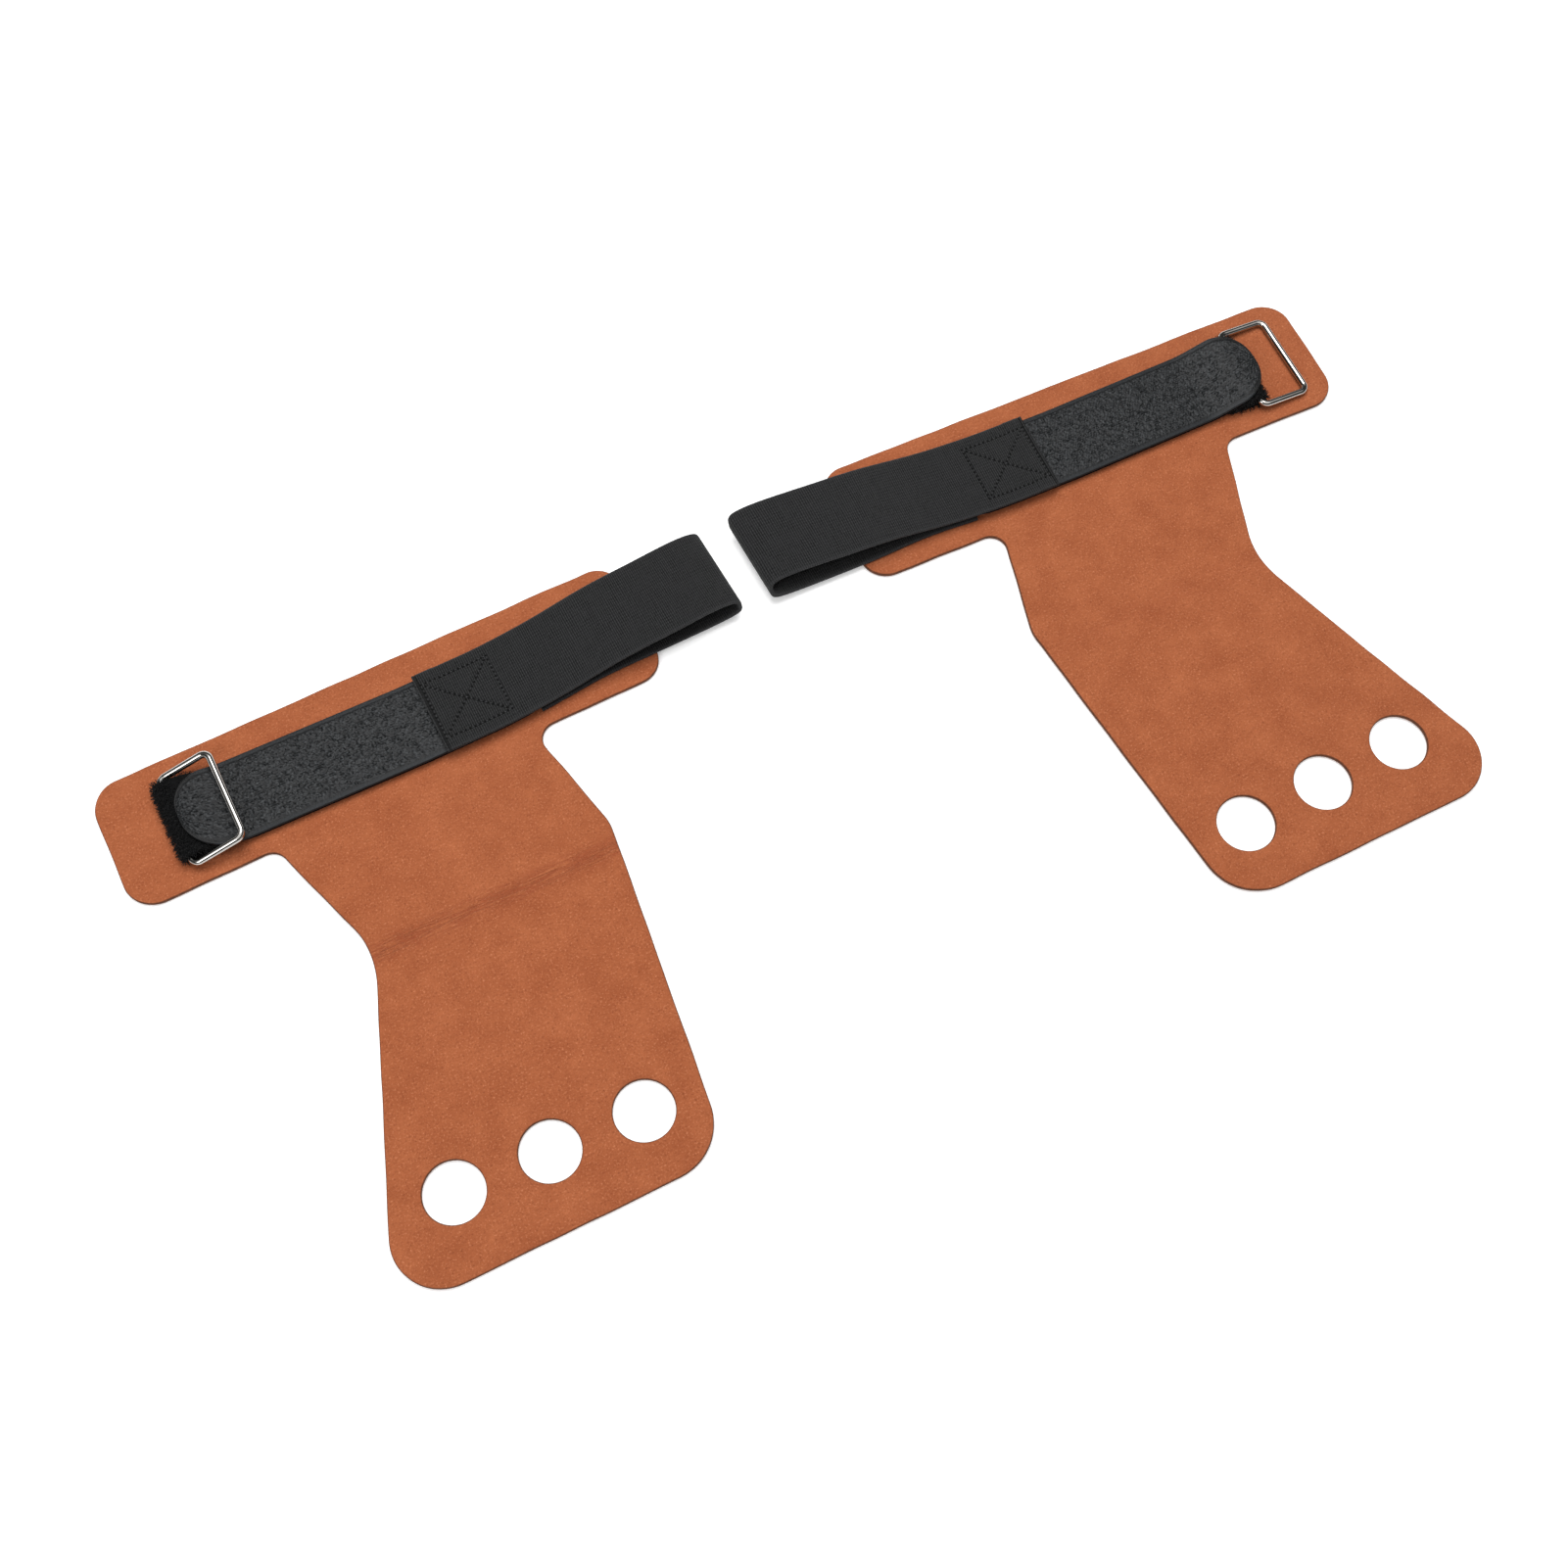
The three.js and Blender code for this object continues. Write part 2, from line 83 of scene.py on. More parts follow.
TAPE_Z = 2.2
TAPE_THICKNESS = 1.0
PILE_TAPE_WIDTH = 24.6
HOOK_TAPE_WIDTH = 25.4
ELASTIC_WIDTH = 26.8
ELASTIC_THICKNESS = 1.2
HOOK_LIFT = 1.7
HOOK_GROUND = 0.9
HOOK_SELVAGE = 1.7
HOOK_MARGIN = 1.2
HOOK_PITCH_ALONG = 1.25
HOOK_PITCH_ACROSS = 1.3
TAIL_END = -68.9
TAIL_RADIUS = 11
RETURN_LEG_LENGTH = 10
SETTLE_LENGTH = 19
WRAP_REACH = 4
LAP_START = 36
LAP_RAMP = 4.5
LAP_Z = 3.6
PILE_TAPE_END = 43
HOOK_TAPE_END = 32
SEAM_END = {"left": 6.1, "right": 8.4}
ELASTIC_BASE_Z = 2.3
ELASTIC_TOP_Z = 5.2
ARCH_START = 40
ARCH_FOOT_X = 56
ARCH_RISE_X = 68
ARCH_CROWN = Vector((87, 10))
FOLD_SHOULDER_X = 98
FOLD_UPPER_PULL_Z = 9
FOLD_LOWER_PULL_Z = 2.8
FOLD = Vector((103.5, 5.6))
FOLD_UPRIGHT = 0.6

# The elastic is stepped finely from here to its end, which carries the boxed seam.
SEWN_START = 34

# How far past FOLD the elastic's fold lies, at its near and its far edge, and where that slant begins.
FOLD_ENDS = {"left": (-1.4, -2.6), "right": (1.2, 3.2)}
SLANT_START = 62

# How far the lower layers, the upper layers, their loop and the ring lie from the band's middle line. The
# upper layers run a little askew: towards that line at the tail, and past it at the fold.
LOWER_SHIFT = {"left": -0.6, "right": -0.8}
UPPER_SHIFT = {"left": -3.4, "right": -1.6}
RING_SHIFT = {"left": -1.0, "right": -0.6}
TAIL_RETURN = 1.7
LOOP_SHIFT = {"left": -0.6, "right": 0.5}
LOOP_DRIFT = (20, 66)
FOLD_SHIFT = 1.2
FOLD_DRIFT = (76, 104)

WIRE_DIAMETER = 2.1
RING_WIDTH = 28.6
RING_REACH = 16.5
RING_BEND = 2.4
RING_BUTT_GAP = 0.4
BAR_X = {"left": -70.5, "right": -64.7}
BAR_Z = 4.0
WRAP_RADIUS = 1.8
RING_LEAN = {"left": math.radians(-15), "right": math.radians(4.34)}

BOX_STITCH_INSET = 1.5
BOX_STITCH_LENGTH = 20.6
BOX_STITCH_HALF_WIDTH = 9.5
STITCH_PITCH = 1.5
NEEDLE_RADIUS = 0.38
NEEDLE_DEPTH = 0.5
SEAM_DIP = 0.16
SEAM_DIP_WIDTH = 0.8
LIP_WIDTH = 0.95
LIP_GROOVE_WIDTH = 0.26
LIP_GROOVE_DEPTH = 0.3
HEM_WIDTH = 6.5
HEM_RISE = 0.26
PEBBLE_LENGTH = 0.92
PEBBLE_WIDTH = 0.72
PEBBLE_RISE = 0.30
PEBBLE_JITTER = {"left": 0.44, "right": 0.34}
SEAM_ROW_PITCH = 3
SEAM_MARGIN = 2.4
CROSS_SEAMS = {
    "ring_seam": {"x": -44.5, "width": PILE_TAPE_WIDTH, "z": 2.7},
    "lap_seam": {"x": 40.2, "width": PILE_TAPE_WIDTH, "z": 4.1},
    "anchor_seam": {"x": 67.5, "width": ELASTIC_WIDTH, "z": 2.9},
}

# ---- Camera -----------------------------------------------------------------------------------------------

VIEW_TARGET = Vector((-0.0191, 0.0010, 0))
VIEW_DISTANCE = 0.523
VIEW_AZIMUTH = math.radians(-29.1)
VIEW_ELEVATION = math.radians(67.6)
VIEW_ROLL = math.radians(3.1)
VIEW_LENS = 41.6


def add_camera():
    """The camera above the near grip, slightly rolled."""
    camera = bpy.data.objects.new("camera", bpy.data.cameras.new("camera"))
    bpy.context.scene.collection.objects.link(camera)
    camera.data.lens = VIEW_LENS
    camera.data.sensor_width = 36
    level = math.cos(VIEW_ELEVATION)
    height = math.sin(VIEW_ELEVATION)
    back = Vector((math.sin(VIEW_AZIMUTH) * level, -math.cos(VIEW_AZIMUTH) * level, height))
    camera.rotation_mode = "QUATERNION"
    roll = Euler((0, 0, VIEW_ROLL)).to_quaternion()
    camera.rotation_quaternion = (-back).to_track_quat("-Z", "Y") @ roll
    camera.location = VIEW_TARGET + back * VIEW_DISTANCE
    camera.data.clip_start = 0.01
    bpy.context.scene.camera = camera


# ---- Node helpers -----------------------------------------------------------------------------------------


def node(tree, kind, inputs=None, **settings):
    """A new node with its settings, and its inputs set to values or joined to other nodes' outputs."""
    made = tree.nodes.new(kind)
    for key, value in settings.items():
        setattr(made, key, value)
    for key, value in (inputs or {}).items():
        if isinstance(value, bpy.types.NodeSocket):
            tree.links.new(value, made.inputs[key])
        else:
            made.inputs[key].default_value = value
    return made


def maths(tree, operation, first, second=0.0):
    return node(tree, "ShaderNodeMath", {0: first, 1: second}, operation=operation).outputs[0]


def ranged(tree, value, low, high, to_low=0.0, to_high=1.0, smooth=False):
    """The value mapped from one range to another and held at the ends."""
    inputs = {"Value": value, "From Min": low, "From Max": high, "To Min": to_low, "To Max": to_high}
    kind = "SMOOTHSTEP" if smooth else "LINEAR"
    return node(tree, "ShaderNodeMapRange", inputs, interpolation_type=kind).outputs["Result"]


def mixed(tree, factor, first, second):
    """A colour between two colours."""
    made = node(tree, "ShaderNodeMix", {0: factor, 6: first, 7: second}, data_type="RGBA")
    return made.outputs[2]


def grain(tree, vector, scale, detail=2.0, roughness=0.5):
    """Cloudy noise, from 0 to 1."""
    inputs = {"Vector": vector, "Scale": scale, "Detail": detail, "Roughness": roughness}
    return node(tree, "ShaderNodeTexNoise", inputs).outputs["Fac"]


def stretched(tree, vector, scale, turn=0.0):
    """Pattern coordinates scaled apart along each direction and turned about +Z."""
    inputs = {"Vector": vector, "Scale": scale, "Rotation": (0, 0, turn)}
    return node(tree, "ShaderNodeMapping", inputs).outputs["Vector"]


def finish_named(name):
    """A new material with its tree and its shader."""
    made = bpy.data.materials.new(name)
    made.use_nodes = True
    return made, made.node_tree, made.node_tree.nodes["Principled BSDF"]


def raise_surface(tree, shader, height, distance, strength=1.0):
    """Bumps the shader's surface by a height pattern, distance metres for a height of one."""
    inputs = {"Height": height, "Distance": distance, "Strength": strength}
    bump = node(tree, "ShaderNodeBump", inputs)
    tree.links.new(bump.outputs["Normal"], shader.inputs["Normal"])


def settings_of(shader, **values):
    for key, value in values.items():
        shader.inputs[key.replace("_", " ")].default_value = value


# ---- Materials --------------------------------------------------------------------------------------------


def suede():
    """Rust-tan leather: mottled nap above, dark cut edges, smooth pebbled grain below."""
    made, tree, shader = finish_named("suede")
    flat = node(tree, "ShaderNodeUVMap", uv_map="flat").outputs["UV"]
    cut_edge = node(tree, "ShaderNodeAttribute", attribute_name="cut_edge").outputs["Fac"]
    underside = node(tree, "ShaderNodeAttribute", attribute_name="underside").outputs["Fac"]
    crease = node(tree, "ShaderNodeAttribute", attribute_name="crease").outputs["Fac"]

    cloud = grain(tree, flat, 90, 4, 0.62)
    nap = grain(tree, stretched(tree, flat, (620, 900, 1), 0.5), 1, 4, 0.62)
    fleck = grain(tree, flat, 1700, 3, 0.65)
    wrinkle = grain(tree, stretched(tree, flat, (75, 950, 1), -0.06), 1, 3, 0.55)
    fold_line = ranged(tree, maths(tree, "ABSOLUTE", maths(tree, "SUBTRACT", wrinkle, 0.5)), 0.0, 0.11, 1, 0)
    fold_line = maths(tree, "MULTIPLY", fold_line, crease)

    colour = mixed(tree, ranged(tree, cloud, 0.3, 0.72), (0.315, 0.084, 0.031, 1), (0.412, 0.124, 0.049, 1))
    shade = ranged(tree, nap, 0.30, 0.70, 0.32, 0)
    colour = mixed(tree, shade, colour, (0.200, 0.048, 0.016, 1))
    light_fleck = ranged(tree, fleck, 0.56, 0.70, 0, 0.55)
    colour = mixed(tree, light_fleck, colour, (0.640, 0.250, 0.125, 1))
    dark_fleck = ranged(tree, fleck, 0.43, 0.29, 0, 0.62)
    colour = mixed(tree, dark_fleck, colour, (0.120, 0.026, 0.010, 1))
    # Painted shade: the crease's wrinkle lines are darkened where the leather folds.
    colour = mixed(tree, maths(tree, "MULTIPLY", fold_line, 0.55), colour, (0.260, 0.050, 0.020, 1))

    pebble_inputs = {"Vector": flat, "Scale": 900.0, "Randomness": 1.0}
    pebble = node(tree, "ShaderNodeTexVoronoi", pebble_inputs, feature="SMOOTH_F1").outputs["Distance"]
    # Painted shade: the grain side is darker in the gaps between its pebbles and lighter on them.
    pebble_depth = ranged(tree, pebble, 0.1, 0.6)
    grain_side = mixed(tree, pebble_depth, (0.36, 0.105, 0.040, 1), (0.21, 0.055, 0.020, 1))
    colour = mixed(tree, underside, colour, grain_side)
    # The cut edges are painted dark brown: partly the edge's own darker tone, partly painted shade on the
    # side walls.
    edge_tone_and_shade = mixed(tree, ranged(tree, nap, 0.3, 0.7), (0.060, 0.020, 0.010, 1), (0.130, 0.040, 0.018, 1))
    colour = mixed(tree, cut_edge, colour, edge_tone_and_shade)
    tree.links.new(colour, shader.inputs["Base Color"])
    tree.links.new(ranged(tree, underside, 0, 1, 0.93, 0.48), shader.inputs["Roughness"])

    nap_height = maths(tree, "ADD", nap, maths(tree, "MULTIPLY", fleck, 0.45))
    nap_height = maths(tree, "SUBTRACT", nap_height, maths(tree, "MULTIPLY", fold_line, 0.9))
    side_height = maths(tree, "SUBTRACT", 1.0, pebble)
    height = node(tree, "ShaderNodeMix", {0: underside, 2: nap_height, 3: side_height}).outputs[0]
    raise_surface(tree, shader, height, 0.00022, 0.9)
    settings_of(shader, Specular_IOR_Level=0.15, Sheen_Weight=0.12, Sheen_Roughness=0.6)
    shader.inputs["Sheen Tint"].default_value = (1.0, 0.72, 0.5, 1)
    return made


def black_elastic():
    """Woven charcoal elastic: fine cross ribs over lengthwise cords, with corded selvages."""
    made, tree, shader = finish_named("black_elastic")
    along = node(tree, "ShaderNodeUVMap", uv_map="along_strap").outputs["UV"]
    place = node(tree, "ShaderNodeSeparateXYZ", {0: along})
    wander = grain(tree, along, 260, 2)
    ribs_inputs = {
        "Vector": stretched(tree, along, (1, 0.16, 1), 0.05),
        "Scale": 470.0,
        "Distortion": 1.6,
        "Detail": 1.0,
        "Detail Scale": 1.6,
    }
    ribs = node(tree, "ShaderNodeTexWave", ribs_inputs, bands_direction="X").outputs["Fac"]
    cords_inputs = {"Vector": along, "Scale": 300.0, "Distortion": 0.5}
    cords = node(tree, "ShaderNodeTexWave", cords_inputs, bands_direction="Y").outputs["Fac"]
    yarn = grain(tree, stretched(tree, along, (900, 2100, 1)), 1, 3, 0.6)
    half = (ELASTIC_WIDTH / 2) * MM
    edge = ranged(tree, maths(tree, "ABSOLUTE", place.outputs["Y"]), half - 1.1 * MM, half - 0.5 * MM)

    weave = maths(tree, "MULTIPLY", ribs, maths(tree, "ADD", 0.55, maths(tree, "MULTIPLY", cords, 0.45)))
    weave = maths(tree, "ADD", maths(tree, "MULTIPLY", weave, 0.6), maths(tree, "MULTIPLY", yarn, 0.5))
    weave = ranged(tree, weave, 0.22, 0.78)
    colour = mixed(tree, weave, (0.0020, 0.0021, 0.0022, 1), (0.0360, 0.0366, 0.0372, 1))
    worn = ranged(tree, wander, 0.35, 0.7, 0, 0.35)
    colour = mixed(tree, worn, colour, (0.024, 0.024, 0.025, 1))
    # The selvages are painted lighter: partly the corded selvage's own tone, partly a painted highlight on
    # the rounded edges.
    colour = mixed(tree, maths(tree, "MULTIPLY", edge, 0.45), colour, (0.036, 0.036, 0.038, 1))
    # Painted shade: the needle holes and the groove behind the folded end's lip are painted near black.
    needle = node(tree, "ShaderNodeAttribute", attribute_name="mark").outputs["Fac"]
    colour = mixed(tree, needle, colour, (0.0004, 0.0004, 0.0004, 1))
    tree.links.new(colour, shader.inputs["Base Color"])
    raise_surface(tree, shader, weave, 0.00022, 0.8)
    settings_of(shader, Roughness=0.86, Specular_IOR_Level=0.14, Sheen_Weight=0.07, Sheen_Roughness=0.5)
    return made


def woven_ground():
    """The hook tape's coated back: satin pebbles with painted light on their tops and painted shade between
    them, and smooth bluish selvages.
    """
    made, tree, shader = finish_named("hook_ground")
    along = node(tree, "ShaderNodeUVMap", uv_map="along_strap").outputs["UV"]
    place = node(tree, "ShaderNodeSeparateXYZ", {0: along})
    dome = node(tree, "ShaderNodeAttribute", attribute_name="mark").outputs["Fac"]
    cords_inputs = {"Vector": along, "Scale": 420.0, "Distortion": 0.4}
    cords = node(tree, "ShaderNodeTexWave", cords_inputs, bands_direction="Y").outputs["Fac"]
    yarn = ranged(tree, grain(tree, along, 1500, 3, 0.65), 0.34, 0.66)
    weave = maths(tree, "ADD", maths(tree, "MULTIPLY", cords, 0.15), maths(tree, "MULTIPLY", yarn, 0.85))
    half = (HOOK_TAPE_WIDTH / 2) * MM
    out = maths(tree, "ABSOLUTE", place.outputs["Y"])
    selvage = ranged(tree, out, half - HOOK_SELVAGE * MM, half - (HOOK_SELVAGE - 0.7) * MM)
    # Painted shade in the gaps between pebbles and painted light on the pebble tops.
    groove = mixed(tree, weave, (0.0006, 0.0007, 0.0008, 1), (0.0030, 0.0034, 0.0038, 1))
    top = mixed(tree, weave, (0.0120, 0.0130, 0.0140, 1), (0.0620, 0.0665, 0.0710, 1))
    field = mixed(tree, dome, groove, top)
    margin = mixed(tree, weave, (0.0080, 0.0094, 0.0110, 1), (0.0150, 0.0175, 0.0200, 1))
    tree.links.new(mixed(tree, selvage, field, margin), shader.inputs["Base Color"])
    raise_surface(tree, shader, weave, 0.00008, 0.6)
    settings_of(shader, Roughness=0.45, Specular_IOR_Level=0.2)
    return made


def hook_nylon():
    """The hooks' own nylon: smooth charcoal filament that catches small lights."""
    made, tree, shader = finish_named("hook_nylon")
    where = node(tree, "ShaderNodeTexCoord").outputs["Object"]
    batch = grain(tree, where, 700, 2)
    colour = mixed(tree, batch, (0.026, 0.029, 0.032, 1), (0.072, 0.078, 0.084, 1))
    tree.links.new(colour, shader.inputs["Base Color"])
    draw = grain(tree, stretched(tree, where, (3000, 3000, 9000)), 1, 1)
    raise_surface(tree, shader, draw, 0.00003, 0.4)
    settings_of(shader, Roughness=0.38, Specular_IOR_Level=0.5)
    return made


def pile_ground():
    """The pile tape's knitted ground under its fuzz."""
    made, tree, shader = finish_named("pile_ground")
    along = node(tree, "ShaderNodeUVMap", uv_map="along_strap").outputs["UV"]
    knots_inputs = {"Vector": along, "Scale": 1300.0, "Randomness": 0.7}
    knots = node(tree, "ShaderNodeTexVoronoi", knots_inputs).outputs["Distance"]
    lint = grain(tree, along, 500, 4, 0.7)
    matted = maths(tree, "ADD", maths(tree, "MULTIPLY", knots, 0.6), maths(tree, "MULTIPLY", lint, 0.5))
    colour = mixed(tree, matted, (0.0020, 0.0020, 0.0021, 1), (0.0075, 0.0077, 0.0080, 1))
    tree.links.new(colour, shader.inputs["Base Color"])
    raise_surface(tree, shader, matted, 0.0003, 0.9)
    settings_of(shader, Roughness=0.95, Specular_IOR_Level=0.1, Sheen_Weight=0.03, Sheen_Roughness=0.4)
    return made


def pile_fibre():
    """Fuzz: near-black fibre with a faint sheen."""
    made, tree, shader = finish_named("pile_fibre")
    where = node(tree, "ShaderNodeTexCoord").outputs["Object"]
    dye = grain(tree, where, 900, 2)
    colour = mixed(tree, dye, (0.003, 0.003, 0.0033, 1), (0.011, 0.0115, 0.012, 1))
    tree.links.new(colour, shader.inputs["Base Color"])
    raise_surface(tree, shader, grain(tree, where, 6000, 1), 0.00004, 0.4)
    settings_of(shader, Roughness=0.8, Specular_IOR_Level=0.15, Sheen_Weight=0.04, Sheen_Roughness=0.4)
    return made


def black_thread():
    """Bonded sewing thread with its plies showing."""
    made, tree, shader = finish_named("black_thread")
    where = node(tree, "ShaderNodeTexCoord").outputs["Object"]
    plies_inputs = {"Vector": stretched(tree, where, (1, 1, 1), 0.6), "Scale": 900.0, "Distortion": 1.0}
    plies = node(tree, "ShaderNodeTexWave", plies_inputs, bands_direction="DIAGONAL").outputs["Fac"]
    dye = grain(tree, where, 500, 2)
    depth = maths(tree, "MULTIPLY", plies, dye)
    colour = mixed(tree, depth, (0.012, 0.012, 0.013, 1), (0.040, 0.041, 0.043, 1))
    tree.links.new(colour, shader.inputs["Base Color"])
    raise_surface(tree, shader, plies, 0.00006, 0.6)
    settings_of(shader, Roughness=0.5, Specular_IOR_Level=0.4)
    return made


def gunmetal():
    """Polished black nickel on bent steel wire, with a few dull patches."""
    made, tree, shader = finish_named("gunmetal_wire")
    where = node(tree, "ShaderNodeTexCoord").outputs["Object"]
    dull = grain(tree, where, 260, 3, 0.6)
    colour = mixed(tree, dull, (0.36, 0.345, 0.325, 1), (0.52, 0.505, 0.48, 1))
    tree.links.new(colour, shader.inputs["Base Color"])
    tree.links.new(ranged(tree, dull, 0.35, 0.75, 0.05, 0.16), shader.inputs["Roughness"])
    raise_surface(tree, shader, dull, 0.00001, 0.3)
    settings_of(shader, Metallic=1.0)
    return made


def table_paint():
    """The pale top of a light table, faintly lit from inside."""
    made, tree, shader = finish_named("table_paint")
    where = node(tree, "ShaderNodeTexCoord").outputs["Object"]
    tone = mixed(tree, grain(tree, where, 30, 2), (0.90, 0.90, 0.90, 1), (0.92, 0.92, 0.92, 1))
    tree.links.new(tone, shader.inputs["Base Color"])
    shader.inputs["Emission Color"].default_value = (1, 1, 1, 1)
    settings_of(shader, Roughness=0.9, Specular_IOR_Level=0.1, Emission_Strength=0.3)
    return made


# ---- Places and pieces ------------------------------------------------------------------------------------


def joint(name):
    """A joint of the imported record, by its name."""
    return next(entry for entry in frame["joints"] if entry["name"] == name)


def grip_place(side):
    """From a left grip's millimetres, with the crease middle at the origin, to one side's metres."""
    crease = Vector(joint(f"{side}_palm_fold")["pos_m"])
    hand = 1 if side == "left" else -1
    return Matrix.Translation((crease.x, crease.y, 0)) @ Matrix.Diagonal((hand * MM, MM, MM, 1))


def strap_place(side):
    """From the strap's millimetres, measured along its own midline, to one side's metres."""
    bar = Vector(joint(f"{side}_ring_swing")["pos_m"])
    fold = Vector(joint(f"{side}_strap_open")["pos_m"])
    along = Vector((fold.x - bar.x, fold.y - bar.y, 0)).normalized()
    across = -Vector(joint(f"{side}_ring_swing")["axis"])
    turn = Matrix((along, across, (0, 0, 1))).transposed().to_4x4()
    shrink = Matrix.Diagonal((MM, MM, MM, 1))
    return Matrix.Translation((bar.x, bar.y, 0)) @ turn @ shrink @ Matrix.Translation((-BAR_X[side], 0, 0))


def piece(name, mesh, place, body=None):
    """A finished mesh as a named piece in its place, attached to a body when one is given."""
    mesh.transform(place)
    if place.determinant() < 0:
        mesh.flip_normals()
    mesh.name = name
    made = bpy.data.objects.new(name, mesh)
    bpy.context.scene.collection.objects.link(made)
    if body:
        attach(made, body)
    return made


def mesh_of(name, shape, finish, sharp=math.radians(42)):
    """A smooth-shaded mesh from a bmesh, kept crisp where it turns sharply."""
    mesh = bpy.data.meshes.new(name)
    shape.to_mesh(mesh)
    shape.free()
    mesh.materials.append(finish)
    mesh.shade_smooth()
    mesh.set_sharp_from_angle(angle=sharp)
    return mesh


# ---- Leather ----------------------------------------------------------------------------------------------


def on_band(x, y, radius):
    """A corner given along the wrist band's own level line, turned by the band's rise."""
    turned = Matrix.Rotation(BAND_RISE, 2) @ Vector((x, y))
    return turned.x, turned.y, radius


def leather_corners():
    """The outline's corners, once round: the wrist band, the neck, the waist, the finger end and back."""
    return [
        on_band(BAND_RING_END, BAND_TOP, BAND_RING_RADIUS),
        on_band(BAND_RING_END, BAND_BOTTOM, BAND_RING_RADIUS),
        on_band(NECK_RING_X, BAND_BOTTOM, NECK_RADIUS),
        (-35.6, 0.6, 27),
        (-67.4, FINGER_END_Y, 14),
        (27.8, FINGER_END_Y, 16),
        (38.3, 7.5, 14),
        on_band(NECK_FOLD_X, BAND_BOTTOM, NECK_RADIUS),
        on_band(BAND_FOLD_END, BAND_BOTTOM, BAND_FOLD_RADIUS),
        on_band(BAND_FOLD_END, BAND_TOP, BAND_FOLD_RADIUS),
    ]


def rounded_outline(corners, spacing):
    """Points along a closed outline whose corners (x, y, radius) are turned into arcs."""
    points = []
    for index, (x, y, radius) in enumerate(corners):
        corner = Vector((x, y))
        back = (Vector(corners[index - 1][:2]) - corner).normalized()
        ahead = (Vector(corners[(index + 1) % len(corners)][:2]) - corner).normalized()
        half = back.angle(ahead) / 2
        centre = corner + (back + ahead).normalized() * (radius / math.sin(half))
        start = corner + back * (radius / math.tan(half)) - centre
        end = corner + ahead * (radius / math.tan(half)) - centre
        sweep = math.atan2(start.cross(end), start.dot(end))
        steps = max(4, math.ceil(abs(sweep) * radius / spacing))
        for step in range(steps + 1):
            points.append(centre + Matrix.Rotation(sweep * step / steps, 2) @ start)
    return even_loop(points, spacing)


def even_loop(points, spacing):
    """A closed loop with its long sides cut into steps."""
    loop = []
    for index, point in enumerate(points):
        onward = points[(index + 1) % len(points)]
        steps = max(1, round((onward - point).length / spacing))
        if (onward - point).length > spacing / 4:
            loop.extend(point.lerp(onward, step / steps) for step in range(steps))
    return loop


def inset(loop, distance):
    """A closed loop moved towards its left-hand side."""
    moved = []
    for index, point in enumerate(loop):
        along = (loop[(index + 1) % len(loop)] - loop[index - 1]).normalized()
        moved.append(point + Vector((-along.y, along.x)) * distance)
    return moved


def hole_middle(step):
    """The middle of one of the three finger holes, numbered -1, 0 and 1."""
    return HOLE_MIDDLE + Vector((step * HOLE_PITCH, step * HOLE_PITCH * HOLE_ROW_SLOPE))


def in_hole(point):
    """Whether a point lies in a finger hole, with the hole's rounded edge counted in."""
    reach = HOLE_RADIUS + EDGE_ROUND
    return any((point - hole_middle(step)).length < reach for step in (-1, 0, 1))


def finger_hole(step):
    """A finger hole's edge, clockwise, so that its left-hand side is leather."""
    middle = hole_middle(step)
    count = 72
    turns = (-2 * math.pi * index / count for index in range(count))
    return [middle + Vector((math.cos(turn), math.sin(turn))) * HOLE_RADIUS for turn in turns]


def hand_cut(loop, seed):
    """A loop with the slight wander of a hand-cut edge."""
    wander = 0.22
    reach = 0.09
    cut = []
    for point, inner in zip(loop, inset(loop, 1)):
        swing = noise(Vector((point.x * reach, point.y * reach, seed))) * wander
        cut.append(point.lerp(inner, swing))
    return cut


def inner_points(edges):
    """Staggered rows of points over the leather, closest at the crease, clear of every edge."""
    fine, coarse = 0.7, 1.7
    margin = 3
    row_spacing = 0.87
    edge_clearance = 0.75
    near = kdtree.KDTree(sum(len(loop) for loop in edges))
    for index, point in enumerate(point for loop in edges for point in loop):
        near.insert((point.x, point.y, 0), index)
    near.balance()
    points = []
    y = FINGER_END_Y
    row = 0
    while y < BAND_TOP + margin:
        pitch = fine if abs(y) < CREASE_BAND + 1 else coarse
        x = BAND_RING_END - margin + (row % 2) * pitch / 2
        while x < BAND_FOLD_END + margin:
            if near.find((x, y, 0))[2] > edge_clearance * pitch and not in_hole(Vector((x, y))):
                points.append(Vector((x, y)))
            x += pitch
        y += pitch * row_spacing
        row += 1
    return points


def leather_lift(x, y, crease):
    """How far the leather rises off the table, away from the strap, and sinks along its crease."""
    strap_side, ramp = 34, 20
    wave_height, wave_rate = 0.30, 0.022
    trough_depth, trough_width = 0.16, 1.5
    wander, wander_rate = 0.4, 0.07
    calm = min(max((strap_side - y) / ramp, 0), 1)
    wave = wave_height * (0.5 + noise(Vector((x * wave_rate, y * wave_rate, 4.0)))) * calm
    middle = wander * noise(Vector((x * wander_rate, 0, 9.0)))
    trough = trough_depth * crease * math.exp(-((y - middle) / trough_width) ** 2)
    return wave - trough


